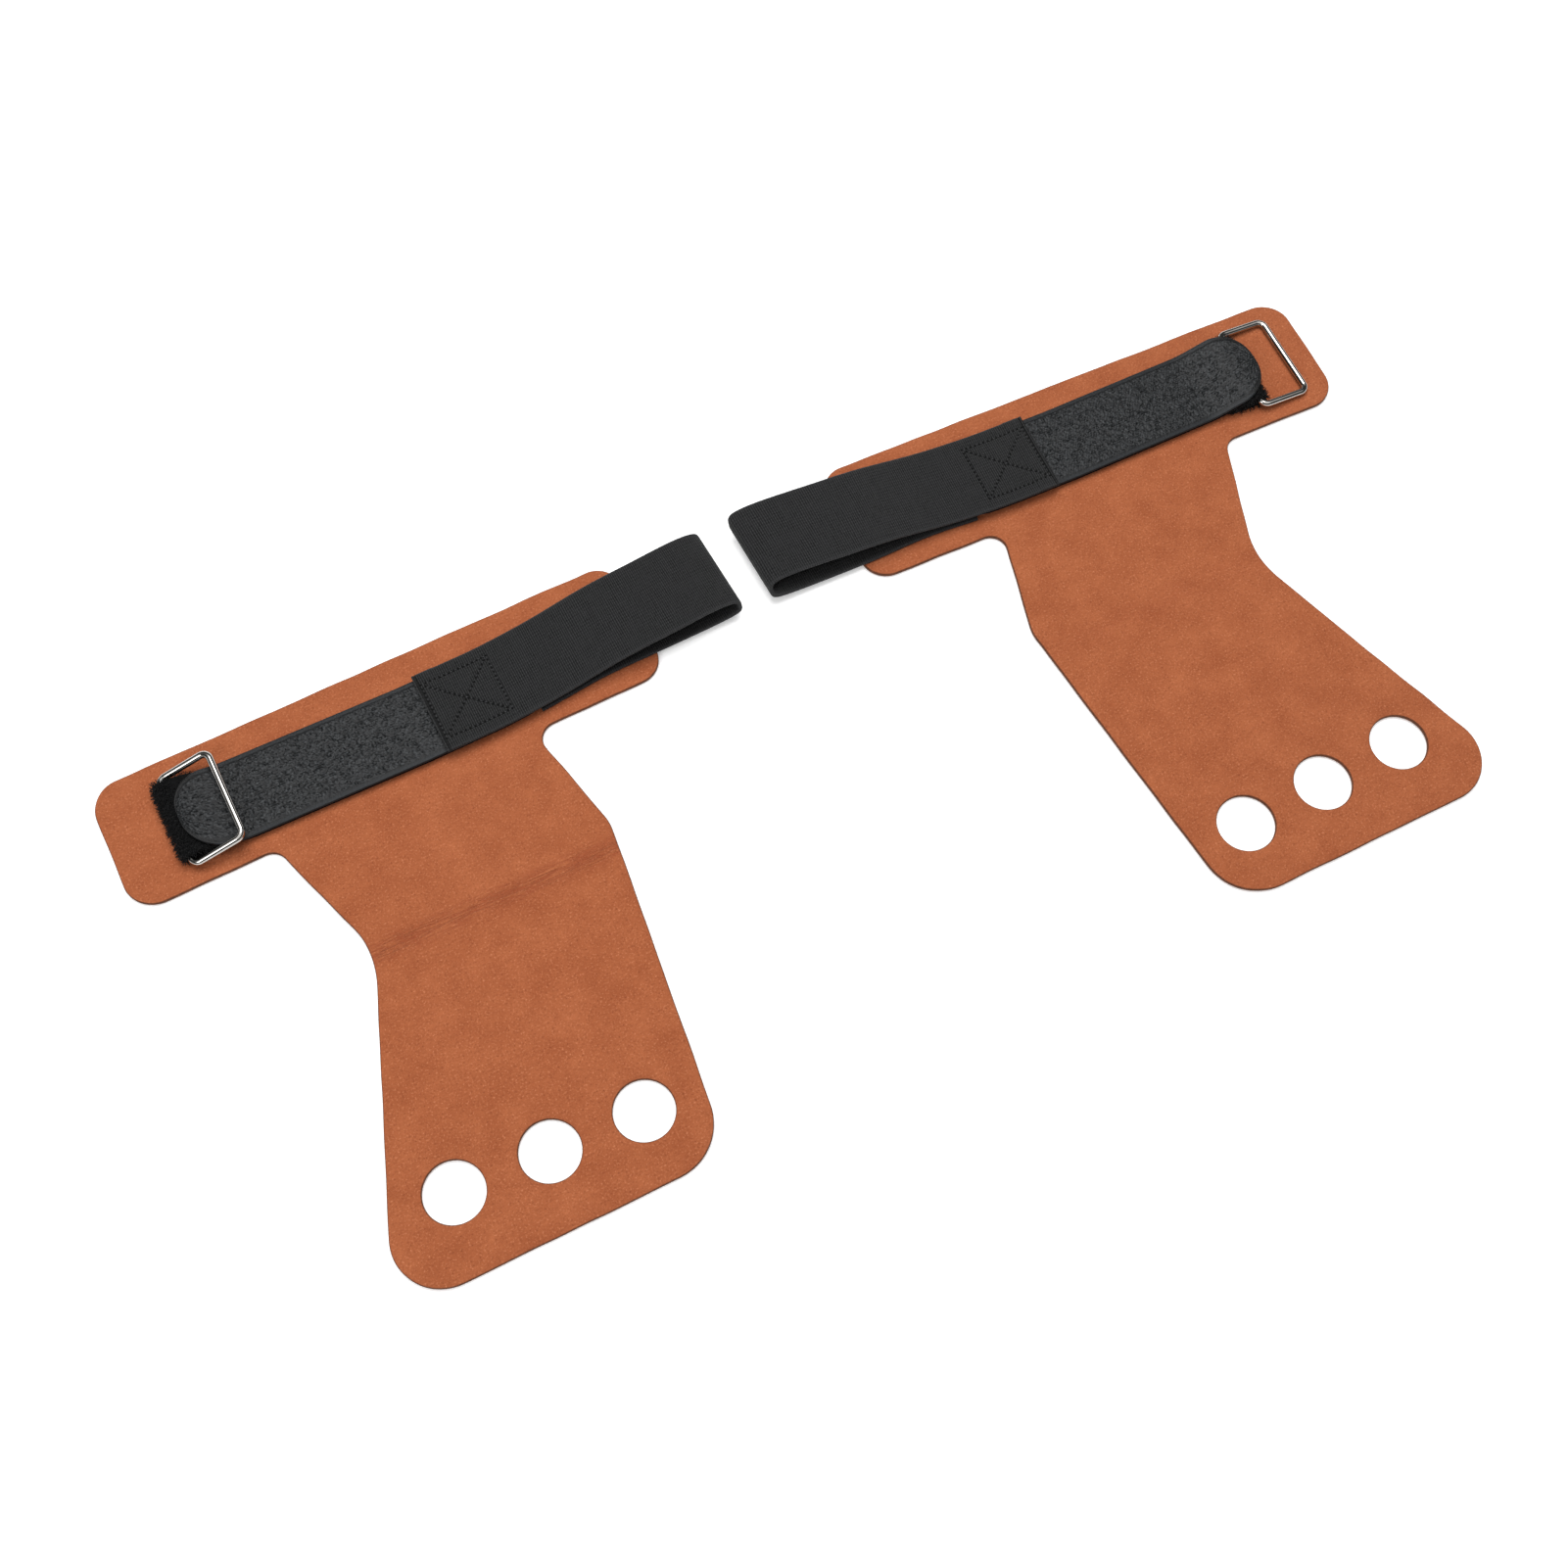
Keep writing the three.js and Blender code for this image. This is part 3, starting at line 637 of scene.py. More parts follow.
def leather_mesh(name, crease, seed, finish):
    """One grip's leather as a closed sheet: a finely meshed face, rounded cut edges and an underside."""
    loops = [hand_cut(rounded_outline(leather_corners(), 1.0), seed)]
    loops += [finger_hole(step) for step in (-1, 0, 1)]
    rims = [inset(loop, EDGE_ROUND) for loop in loops]
    inner = inner_points(rims)
    flat_points = [point for rim in rims for point in rim] + inner
    starts = [sum(len(rim) for rim in rims[:index]) for index in range(len(rims))]
    edges = []
    for start, rim in zip(starts, rims):
        edges += [(start + index, start + (index + 1) % len(rim)) for index in range(len(rim))]
    points, _, faces, sources, _, _ = delaunay_2d_cdt(flat_points, edges, [], 2, 1e-5)

    def middle_of(face):
        return sum((points[index] for index in face), Vector((0, 0))) / 3

    faces = [face for face in faces if not in_hole(middle_of(face))]

    shape = bmesh.new()
    cut_edge = shape.verts.layers.float.new("cut_edge")
    underside = shape.verts.layers.float.new("underside")
    creased = shape.verts.layers.float.new("crease")

    def vertex(point, height, at_edge, below):
        band = max(0.0, 1 - (point.y / CREASE_BAND) ** 2) ** 2
        made = shape.verts.new((point.x, point.y, height + leather_lift(point.x, point.y, crease)))
        made[cut_edge] = at_edge
        made[underside] = below
        made[creased] = crease * band
        return made

    used = sorted({index for face in faces for index in face})
    top = {index: vertex(points[index], LEATHER_THICKNESS, 0, 0) for index in used}
    bottom = {index: vertex(points[index], 0, 0, 1) for index in used}
    for face in faces:
        shape.faces.new([top[index] for index in face])
        shape.faces.new([bottom[index] for index in reversed(face)])

    first_of = {source: index for index, group in enumerate(sources) for source in group}
    section = [(EDGE_ROUND * 0.3, 0.07), (0.0, 0.24), (0.0, 0.76), (EDGE_ROUND * 0.3, 0.93)]
    for start, rim, loop in zip(starts, rims, loops):
        rows = [[top[first_of[start + index]] for index in range(len(rim))]]
        for distance, depth in section:
            height = LEATHER_THICKNESS * (1 - depth)
            rows.append([vertex(point, height, 1, 0) for point in inset(loop, distance)])
        rows.append([bottom[first_of[start + index]] for index in range(len(rim))])
        for upper, lower in zip(rows, rows[1:]):
            for index in range(len(rim)):
                onward = (index + 1) % len(rim)
                shape.faces.new((upper[onward], upper[index], lower[index], lower[onward]))

    flat = shape.loops.layers.uv.new("flat")
    for face in shape.faces:
        for corner in face.loops:
            corner[flat].uv = Vector((corner.vert.co.x + 400 * seed, corner.vert.co.y)) * MM
    return mesh_of(name, shape, finish, math.radians(60))


def outline_area():
    """The leather's flat area in square metres."""
    def area(loop):
        return sum(loop[index - 1].cross(loop[index]) for index in range(len(loop))) / 2

    holes = sum(area(finger_hole(step)) for step in (-1, 0, 1))
    return (area(rounded_outline(leather_corners(), 1.0)) + holes) * MM * MM


# ---- Strap layers -----------------------------------------------------------------------------------------


def smoothstep(value, low, high):
    share = min(max((value - low) / (high - low), 0), 1)
    return share * share * (3 - 2 * share)


def settled_height(x, bar_x):
    """How high the tape lies at x: on top of the ring's wrap at the bar, and flat once it has settled."""
    wrap_top = BAR_Z + WRAP_RADIUS
    return wrap_top + (TAPE_Z - wrap_top) * smoothstep(x, bar_x, bar_x + SETTLE_LENGTH)


def upper_drift(x, side):
    """How far the upper layers lie from the band's middle line at x."""
    tail = TAIL_RETURN * max(x / TAIL_END, 0)
    loop = smoothstep(x, *LOOP_DRIFT)
    fold = FOLD_SHIFT * smoothstep(x, *FOLD_DRIFT)
    return UPPER_SHIFT[side] + (LOOP_SHIFT[side] - UPPER_SHIFT[side]) * loop + tail + fold


def lower_drift(x, side):
    """How far the lower layers lie from it: under the upper ones along the tapes, alone at both ends."""
    leaving = smoothstep(x, BAR_X[side] + WRAP_REACH, BAR_X[side] + SETTLE_LENGTH)
    share = leaving - smoothstep(x, PILE_TAPE_END, BAND_FOLD_END)
    return LOWER_SHIFT[side] * (1 - share) + upper_drift(x, side) * share


def drifted(mesh, side, drift):
    """A layer's mesh moved sideways by its drift."""
    for vert in mesh.vertices:
        vert.co.y += drift(vert.co.x, side)
    return mesh


def bezier(start, first, second, end, steps=24):
    points = []
    for step in range(steps + 1):
        t = step / steps
        u = 1 - t
        point = Vector(start) * u**3 + Vector(first) * 3 * u * u * t
        points.append(point + Vector(second) * 3 * u * t * t + Vector(end) * t**3)
    return points


def even_path(points, pitch):
    """An open path resampled into equal steps of about a pitch."""
    points = [Vector(point) for point in points]
    lengths = [0.0]
    for before, after in zip(points, points[1:]):
        lengths.append(lengths[-1] + (after - before).length)
    count = max(2, round(lengths[-1] / pitch))
    path = []
    leg = 0
    for step in range(count + 1):
        want = lengths[-1] * step / count
        while leg < len(points) - 2 and lengths[leg + 1] < want:
            leg += 1
        span = lengths[leg + 1] - lengths[leg]
        path.append(points[leg].lerp(points[leg + 1], (want - lengths[leg]) / span))
    return path


def pile_path(side):
    """Return leg on the leather, round the ring's bar, back over itself, and up over the elastic's end."""
    bar_x = BAR_X[side]
    wrap = []
    for step in range(13):
        turn = -math.pi / 2 - math.pi * step / 12
        wrap.append(Vector((bar_x + WRAP_RADIUS * math.cos(turn), BAR_Z + WRAP_RADIUS * math.sin(turn))))
    places = [bar_x + step for step in range(1, SETTLE_LENGTH + 1)]
    settling = [Vector((x, settled_height(x, bar_x))) for x in places]
    lap = [(LAP_START - LAP_RAMP, TAPE_Z), (LAP_START, LAP_Z), (PILE_TAPE_END, LAP_Z)]
    return even_path([(bar_x + RETURN_LEG_LENGTH, TAPE_Z), *wrap, *settling, *lap], 0.7)


def hook_path(side):
    """The hook tape's ground, from its rounded tail to its end under the elastic."""
    sunk = (HOOK_GROUND - TAPE_THICKNESS) / 2
    pitch = 0.36
    tail_steps = 34
    quarter = math.pi / 2
    turns = [quarter * step / tail_steps for step in range(tail_steps)]
    tail = [TAIL_END + TAIL_RADIUS * (1 - math.cos(turn)) for turn in turns]
    body_length = HOOK_TAPE_END - TAIL_END - TAIL_RADIUS
    steps = round(body_length / pitch)
    body = [TAIL_END + TAIL_RADIUS + body_length * step / steps for step in range(steps + 1)]
    places = tail + body
    return [Vector((x, settled_height(x, BAR_X[side]) + HOOK_LIFT + sunk)) for x in places]


def tail_half_width(x):
    """Half the hook tape's width, narrowing round its tail."""
    half = HOOK_TAPE_WIDTH / 2
    left = TAIL_RADIUS - (x - TAIL_END)
    if left <= 0:
        return half
    return half - TAIL_RADIUS + math.sqrt(max(TAIL_RADIUS**2 - left**2, 0))


def elastic_path(side):
    """From under the pile tape's lap to the fold, and back over the arch to the seam on the hook tape."""
    upright = Vector((0, FOLD_UPRIGHT))
    shoulder = (FOLD_SHOULDER_X, ELASTIC_BASE_Z)
    base = bezier((BAND_FOLD_END, ELASTIC_BASE_Z), shoulder, (FOLD.x, FOLD_LOWER_PULL_Z), FOLD - upright)
    shoulder = (FOLD_SHOULDER_X, ARCH_CROWN.y)
    crown = bezier(FOLD + upright, (FOLD.x, FOLD_UPPER_PULL_Z), shoulder, ARCH_CROWN)
    foot = (ARCH_FOOT_X, ELASTIC_TOP_Z)
    arch = bezier(ARCH_CROWN, (ARCH_RISE_X, ARCH_CROWN.y), foot, (ARCH_START, ELASTIC_TOP_Z))
    level = (SEWN_START, ELASTIC_TOP_Z)
    loop = even_path([(LAP_START, ELASTIC_BASE_Z), *base, *crown, *arch[1:], level], 0.62)
    sewn = even_path([level, (SEAM_END[side], ELASTIC_TOP_Z)], 0.25)
    return loop + sewn[1:]


def section_points(half_width, thickness, across):
    """A strip's cross-section with rounded edges: (across, through) pairs, once round."""
    half = thickness / 2
    bend = half * 0.9
    flat = half_width - bend
    upper = [(flat - 2 * flat * step / across, half) for step in range(across + 1)]
    turns = [math.radians(turn) for turn in (-60, -30, 0, 30, 60)]
    near = [(-flat - bend * math.cos(turn), -half * math.sin(turn)) for turn in turns]
    lower = [(-y, -through) for y, through in upper]
    far = [(-y, -through) for y, through in near]
    return [*upper, *near, *lower, *far]


def strip_mesh(name, path, thickness, half_width, across, finish, shaped=None):
    """A strip of webbing swept along a path in the X-Z plane, with its length and width kept in a UV map.

    shaped gives a point's shift and its mark, which the finish reads as the attribute "mark". On the elastic
    the mark paints shade into the needle holes and the lip's groove; on the hook tape it paints light on the
    pebble tops and shade between them.
    """
    shape = bmesh.new()
    along = shape.loops.layers.uv.new("along_strap")
    mark = shape.verts.layers.float.new("mark")
    place_of = {}
    rings = []
    travelled = 0.0
    for index, point in enumerate(path):
        if index:
            travelled += (point - path[index - 1]).length
        ahead = (path[min(index + 1, len(path) - 1)] - path[max(index - 1, 0)]).normalized()
        outward = Vector((-ahead.y, ahead.x))
        ring = []
        for y, through in section_points(half_width(point.x), thickness, across):
            spot = point + outward * through
            made = shape.verts.new((spot.x, y, spot.y))
            if shaped:
                shift, made[mark] = shaped(made.co.copy(), outward.y * through)
                made.co += shift
            place_of[made] = (travelled * MM, y * MM)
            ring.append(made)
        rings.append(ring)
    for before, after in zip(rings, rings[1:]):
        for index in range(len(before)):
            shape.faces.new((before[index - 1], before[index], after[index], after[index - 1]))
    shape.faces.new(rings[0])
    shape.faces.new(reversed(rings[-1]))
    bmesh.ops.recalc_face_normals(shape, faces=shape.faces)
    for face in shape.faces:
        for corner in face.loops:
            corner[along].uv = place_of[corner.vert]
    return mesh_of(name, shape, finish)


# ---- Seams ------------------------------------------------------------------------------------------------


def box_seam_lines(side):
    """The stitched box on the elastic's end, with its two diagonals."""
    left = SEAM_END[side] + BOX_STITCH_INSET
    right = left + BOX_STITCH_LENGTH
    half = BOX_STITCH_HALF_WIDTH
    corners = [Vector((left, -half)), Vector((right, -half)), Vector((right, half)), Vector((left, half))]
    lines = [(corners[index - 1], corners[index]) for index in range(4)]
    return [*lines, (corners[0], corners[2]), (corners[1], corners[3])]


def cross_seam_lines(x, width):
    """Two rows of stitching across the strap, joined at both ends."""
    half = width / 2 - SEAM_MARGIN
    near, far = x - SEAM_ROW_PITCH / 2, x + SEAM_ROW_PITCH / 2
    corners = [Vector((near, -half)), Vector((far, -half)), Vector((far, half)), Vector((near, half))]
    return [(corners[index - 1], corners[index]) for index in range(4)]


def distance_to(line, point):
    start, end = line
    span = end - start
    share = min(max((point - start).dot(span) / span.length_squared, 0), 1)
    return (start + span * share - point).length


def needle_points(lines):
    """The needle's holes along a seam's lines, in even steps of about one stitch."""
    holes = []
    for start, end in lines:
        steps = round((end - start).length / STITCH_PITCH)
        holes.append([start.lerp(end, step / steps) for step in range(steps + 1)])
    return holes


def sewn_elastic(side):
    """How the elastic is shaped: its folded end slants, its hem is thicker, and stitching pulls it down."""
    lines = box_seam_lines(side)
    lip = SEAM_END[side] + LIP_WIDTH
    hem_end = SEAM_END[side] + HEM_WIDTH
    holes = kdtree.KDTree(sum(len(row) for row in needle_points(lines)))
    for index, hole in enumerate(hole for row in needle_points(lines) for hole in row):
        holes.insert((hole.x, hole.y, 0), index)
    holes.balance()
    half = ELASTIC_WIDTH / 2

    near_end, far_end = FOLD_ENDS[side]
    lower_top = ELASTIC_BASE_Z + ELASTIC_THICKNESS / 2 + 0.1
    upper_bottom = ELASTIC_TOP_Z - ELASTIC_THICKNESS / 2
    arch_lift = 4

    def shaped(spot, above):
        slant = near_end + (far_end - near_end) * (spot.y + half) / ELASTIC_WIDTH
        upper_z = upper_bottom + arch_lift * smoothstep(spot.x, 90, 100)
        upper = smoothstep(spot.z, lower_top, upper_z)
        drift = lower_drift(spot.x, side) * (1 - upper) + upper_drift(spot.x, side) * upper
        shift = Vector((slant * smoothstep(spot.x, SLANT_START, FOLD.x), drift, 0))
        if above <= 0 or spot.x > ARCH_START + 1 or spot.z < ELASTIC_TOP_Z:
            return shift, 0.0
        seam = min(distance_to(line, Vector((spot.x, spot.y))) for line in lines)
        hole = holes.find((spot.x, spot.y, 0))[2]
        needle = math.exp(-((hole / NEEDLE_RADIUS) ** 4))
        groove = math.exp(-(((spot.x - lip) / LIP_GROOVE_WIDTH) ** 2))
        hem = HEM_RISE * (1 - smoothstep(spot.x, hem_end - 0.4, hem_end + 0.2))
        dip = SEAM_DIP * math.exp(-((seam / SEAM_DIP_WIDTH) ** 2))
        shift.z = hem - dip - NEEDLE_DEPTH * needle - LIP_GROOVE_DEPTH * groove
        # The mark is painted shade: near black in the needle holes and, a little less, in the groove behind
        # the lip.
        return shift, max(needle, 0.8 * groove)

    return shaped


def pebbled_back(side):
    """The hook tape's coated back: low pebbles in staggered rows between its smooth selvages."""
    reach = 2 * PEBBLE_JITTER[side]
    field_half = HOOK_TAPE_WIDTH / 2 - HOOK_SELVAGE

    def pebble(column, row):
        wander = Vector((noise(Vector((column * 1.37, row * 2.11, 3.5))),
                         noise(Vector((column * 2.53, row * 1.19, 8.5)))))
        return Vector((column + 0.5 * (row % 2), row + 0.5)) + wander * reach

    def shaped(spot, above):
        drift = upper_drift(spot.x, side)
        if above <= 0:
            return Vector((0, drift, 0)), 0.0
        place = Vector((spot.x / PEBBLE_LENGTH, spot.y / PEBBLE_WIDTH))
        column, row = math.floor(place.x), math.floor(place.y)
        cells = [(column + i, row + j) for i in (-1, 0, 1) for j in (-1, 0, 1)]
        gaps = sorted(((pebble(*cell) - place).length, cell) for cell in cells)
        dome = smoothstep(gaps[1][0] - gaps[0][0], 0.0, 0.5)
        nearest = gaps[0][1]
        tone = 0.35 + 0.65 * ((nearest[0] * 0.618 + nearest[1] * 0.414) % 1)
        field_edge = min(field_half, tail_half_width(spot.x) - HOOK_SELVAGE)
        margin = smoothstep(abs(spot.y), field_edge - 0.4, field_edge + 0.3)
        rise = PEBBLE_RISE * dome * (1 - margin)
        # The mark is painted light on each pebble's top, with a random tone per pebble, and painted shade in
        # the gaps between pebbles.
        return Vector((0, drift, rise)), dome * (1 - margin) * tone

    return shaped


def seam_path(name, lines, height):
    """The seam as edges at a height, one edge for each stitch."""
    spots, edges = [], []
    for row in needle_points(lines):
        edges += [(len(spots) + index, len(spots) + index + 1) for index in range(len(row) - 1)]
        spots += [(hole.x, hole.y, height) for hole in row]
    mesh = bpy.data.meshes.new(name)
    mesh.from_pydata(spots, edges, [])
    return mesh


# ---- Geometry Nodes: what repeats -------------------------------------------------------------------------


def new_tree(name, sizes):
    """A Geometry Nodes tree with named inputs, and its start and end nodes."""
    tree = bpy.data.node_groups.new(name, "GeometryNodeTree")
    tree.interface.new_socket("Geometry", in_out="INPUT", socket_type="NodeSocketGeometry")
    for label, value in sizes.items():
        kind = "NodeSocketInt" if isinstance(value, int) else "NodeSocketFloat"
        tree.interface.new_socket(label, in_out="INPUT", socket_type=kind).default_value = value
    tree.interface.new_socket("Geometry", in_out="OUTPUT", socket_type="NodeSocketGeometry")
    return tree, node(tree, "NodeGroupInput").outputs, node(tree, "NodeGroupOutput").inputs


def finish_tree(tree, geometry, finish, end):
    """Makes instances real, shades them smooth and gives them their finish."""
    real = node(tree, "GeometryNodeRealizeInstances", {0: geometry}).outputs[0]
    smooth = node(tree, "GeometryNodeSetShadeSmooth", {0: real}).outputs[0]
    made = node(tree, "GeometryNodeSetMaterial", {"Geometry": smooth, "Material": finish}).outputs[0]
    tree.links.new(made, end[0])
    return tree


def grown(name, tree, base, **sizes):
    """The plain mesh that a tree makes from a base mesh, with some of its inputs set by name."""
    holder = bpy.data.objects.new(name, base)
    bpy.context.scene.collection.objects.link(holder)
    modifier = holder.modifiers.new(name, "NODES")
    modifier.node_group = tree
    for socket in tree.interface.items_tree:
        if socket.in_out == "INPUT" and socket.name.replace(" ", "_").lower() in sizes:
            modifier[socket.identifier] = sizes[socket.name.replace(" ", "_").lower()]
    depsgraph = bpy.context.evaluated_depsgraph_get()
    mesh = bpy.data.meshes.new_from_object(holder.evaluated_get(depsgraph), depsgraph=depsgraph)
    holder.modifiers.clear()
    bpy.data.objects.remove(holder)
    return mesh


def empty_mesh(name):
    return bpy.data.meshes.new(name)


def stitches_tree(finish):
    """One stitch on every edge: a short arched length of thread that dips into the needle's holes."""
    sizes = {"Thread Radius": 0.2, "Cover": 0.56, "Dip": 0.30, "Pitch": STITCH_PITCH}
    tree, start, end = new_tree("stitches", sizes)
    ends = node(tree, "GeometryNodeInputMeshEdgeVertices").outputs
    span = {0: ends["Position 2"], 1: ends["Position 1"]}
    span = node(tree, "ShaderNodeVectorMath", span, operation="SUBTRACT").outputs[0]
    span = node(tree, "ShaderNodeSeparateXYZ", {0: span}).outputs
    heading = maths(tree, "ARCTAN2", span["Y"], span["X"])
    stored = {"Geometry": start["Geometry"], "Name": "heading", "Value": heading}
    on_edges = {"data_type": "FLOAT", "domain": "EDGE"}
    lines = node(tree, "GeometryNodeStoreNamedAttribute", stored, **on_edges).outputs[0]
    points = node(tree, "GeometryNodeMeshToPoints", {"Mesh": lines}, mode="EDGES").outputs[0]

    half = maths(tree, "MULTIPLY", maths(tree, "MULTIPLY", start["Pitch"], start["Cover"]), 0.5)
    tail = node(tree, "ShaderNodeCombineXYZ", {"X": maths(tree, "MULTIPLY", half, -1.0)}).outputs[0]
    head = node(tree, "ShaderNodeCombineXYZ", {"X": half}).outputs[0]
    core = node(tree, "GeometryNodeCurvePrimitiveLine", {"Start": tail, "End": head}).outputs[0]
    core = node(tree, "GeometryNodeResampleCurve", {"Curve": core, "Count": 8}).outputs[0]
    share = node(tree, "GeometryNodeSplineParameter").outputs["Factor"]
    out = maths(tree, "ABSOLUTE", maths(tree, "SUBTRACT", maths(tree, "MULTIPLY", share, 2.0), 1.0))
    drop = maths(tree, "MULTIPLY", maths(tree, "POWER", out, 2.5), start["Dip"])
    sink = node(tree, "ShaderNodeCombineXYZ", {"Z": maths(tree, "MULTIPLY", drop, -1.0)}).outputs[0]
    core = node(tree, "GeometryNodeSetPosition", {"Geometry": core, "Offset": sink}).outputs[0]
    ring = {"Resolution": 7, "Radius": start["Thread Radius"]}
    ring = node(tree, "GeometryNodeCurvePrimitiveCircle", ring).outputs[0]
    taper = ranged(tree, out, 0.5, 1.0, 1.0, 0.6)
    sweep = {"Curve": core, "Profile Curve": ring, "Scale": taper, "Fill Caps": True}
    stitch = node(tree, "GeometryNodeCurveToMesh", sweep).outputs[0]

    saved = node(tree, "GeometryNodeInputNamedAttribute", {"Name": "heading"}, data_type="FLOAT").outputs[0]
    turn = node(tree, "ShaderNodeCombineXYZ", {"Z": saved}).outputs[0]
    turn = node(tree, "FunctionNodeEulerToRotation", {0: turn}).outputs[0]
    placed = {"Points": points, "Instance": stitch, "Rotation": turn}
    instances = node(tree, "GeometryNodeInstanceOnPoints", placed).outputs[0]
    return finish_tree(tree, instances, finish, end)


def hooks_tree(finish):
    """A field of hooks in staggered rows under the tape, following it down from the ring's wrap."""
    sizes = {
        "Length": 72.0,
        "Width": 20.0,
        "Rows": 60,
        "Columns": 20,
        "Hook Height": 0.6,
        "Wire Radius": 0.14,
        "Tail Radius": 10.0,
        "High": 7.0,
        "Low": 3.4,
        "Settle Start": -70.0,
        "Settle Length": 19.0,
        "Seed": 3,
    }
    tree, start, end = new_tree("hook_field", sizes)
    field = {
        "Size X": start["Length"],
        "Size Y": start["Width"],
        "Vertices X": start["Rows"],
        "Vertices Y": start["Columns"],
    }
    grid = node(tree, "GeometryNodeMeshGrid", field).outputs["Mesh"]
    points = node(tree, "GeometryNodeMeshToPoints", {"Mesh": grid}).outputs[0]
    index = node(tree, "GeometryNodeInputIndex").outputs[0]
    row = maths(tree, "FLOOR", maths(tree, "DIVIDE", index, start["Columns"]))
    odd = maths(tree, "MODULO", row, 2.0)
    pitch = maths(tree, "DIVIDE", start["Width"], start["Columns"])
    stagger = maths(tree, "MULTIPLY", maths(tree, "SUBTRACT", odd, 0.5), maths(tree, "MULTIPLY", pitch, 0.5))
    jitter_inputs = {"Min": (-0.14, -0.14, 0), "Max": (0.14, 0.14, 0), "Seed": start["Seed"]}
    jitter = node(tree, "FunctionNodeRandomValue", jitter_inputs, data_type="FLOAT_VECTOR").outputs[0]
    middle = maths(tree, "ADD", TAIL_END + HOOK_MARGIN, maths(tree, "MULTIPLY", start["Length"], 0.5))
    shift = node(tree, "ShaderNodeCombineXYZ", {"X": middle, "Y": stagger}).outputs[0]
    shift = node(tree, "ShaderNodeVectorMath", {0: shift, 1: jitter}, operation="ADD").outputs[0]
    points = node(tree, "GeometryNodeSetPosition", {"Geometry": points, "Offset": shift}).outputs[0]

    spot = node(tree, "ShaderNodeSeparateXYZ", {0: node(tree, "GeometryNodeInputPosition").outputs[0]})
    centre_x = maths(tree, "ADD", TAIL_END + HOOK_MARGIN, start["Tail Radius"])
    back = maths(tree, "MAXIMUM", maths(tree, "SUBTRACT", centre_x, spot.outputs["X"]), 0.0)
    half = maths(tree, "MULTIPLY", start["Width"], 0.5)
    straight = maths(tree, "SUBTRACT", half, start["Tail Radius"])
    side = maths(tree, "SUBTRACT", maths(tree, "ABSOLUTE", spot.outputs["Y"]), straight)
    side = maths(tree, "MAXIMUM", side, 0.0)
    squares = maths(tree, "ADD", maths(tree, "POWER", back, 2.0), maths(tree, "POWER", side, 2.0))
    radius = maths(tree, "SQRT", squares)
    outside = maths(tree, "GREATER_THAN", radius, start["Tail Radius"])
    points = node(tree, "GeometryNodeDeleteGeometry", {"Geometry": points, "Selection": outside}).outputs[0]

    settled = maths(tree, "ADD", start["Settle Start"], start["Settle Length"])
    drop = {
        "Value": spot.outputs["X"],
        "From Min": start["Settle Start"],
        "From Max": settled,
        "To Min": start["High"],
        "To Max": start["Low"],
    }
    drop = node(tree, "ShaderNodeMapRange", drop, interpolation_type="SMOOTHSTEP").outputs[0]
    rise = node(tree, "ShaderNodeCombineXYZ", {"Z": drop}).outputs[0]
    points = node(tree, "GeometryNodeSetPosition", {"Geometry": points, "Offset": rise}).outputs[0]

    bend_inputs = {
        "Start": (0, 0, 0.1),
        "Start Handle": (-0.1, 0, -1.4),
        "End Handle": (0.9, 0, -1.2),
        "End": (0.75, 0, -0.35),
        "Resolution": 5,
    }
    bend = node(tree, "GeometryNodeCurvePrimitiveBezierSegment", bend_inputs).outputs[0]
    stretch = {0: start["Hook Height"], 1: 1.0, 2: start["Hook Height"]}
    tall = node(tree, "ShaderNodeCombineXYZ", stretch).outputs[0]
    bend = node(tree, "GeometryNodeTransform", {"Geometry": bend, "Scale": tall}).outputs[0]
    wire = {"Resolution": 4, "Radius": start["Wire Radius"]}
    wire = node(tree, "GeometryNodeCurvePrimitiveCircle", wire).outputs[0]
    hook = {"Curve": bend, "Profile Curve": wire, "Fill Caps": True}
    hook = node(tree, "GeometryNodeCurveToMesh", hook).outputs[0]
    facing_inputs = {"Min": (-0.15, -0.2, -0.5), "Max": (0.15, 0.2, 0.5), "Seed": start["Seed"]}
    facing = node(tree, "FunctionNodeRandomValue", facing_inputs, data_type="FLOAT_VECTOR").outputs[0]
    flip = maths(tree, "MULTIPLY", odd, math.pi)
    flip = node(tree, "ShaderNodeCombineXYZ", {"Z": flip}).outputs[0]
    facing = node(tree, "ShaderNodeVectorMath", {0: facing, 1: flip}, operation="ADD").outputs[0]
    turn = node(tree, "FunctionNodeEulerToRotation", {0: facing}).outputs[0]
    placed = {"Points": points, "Instance": hook, "Rotation": turn}
    instances = node(tree, "GeometryNodeInstanceOnPoints", placed).outputs[0]
    return finish_tree(tree, instances, finish, end)


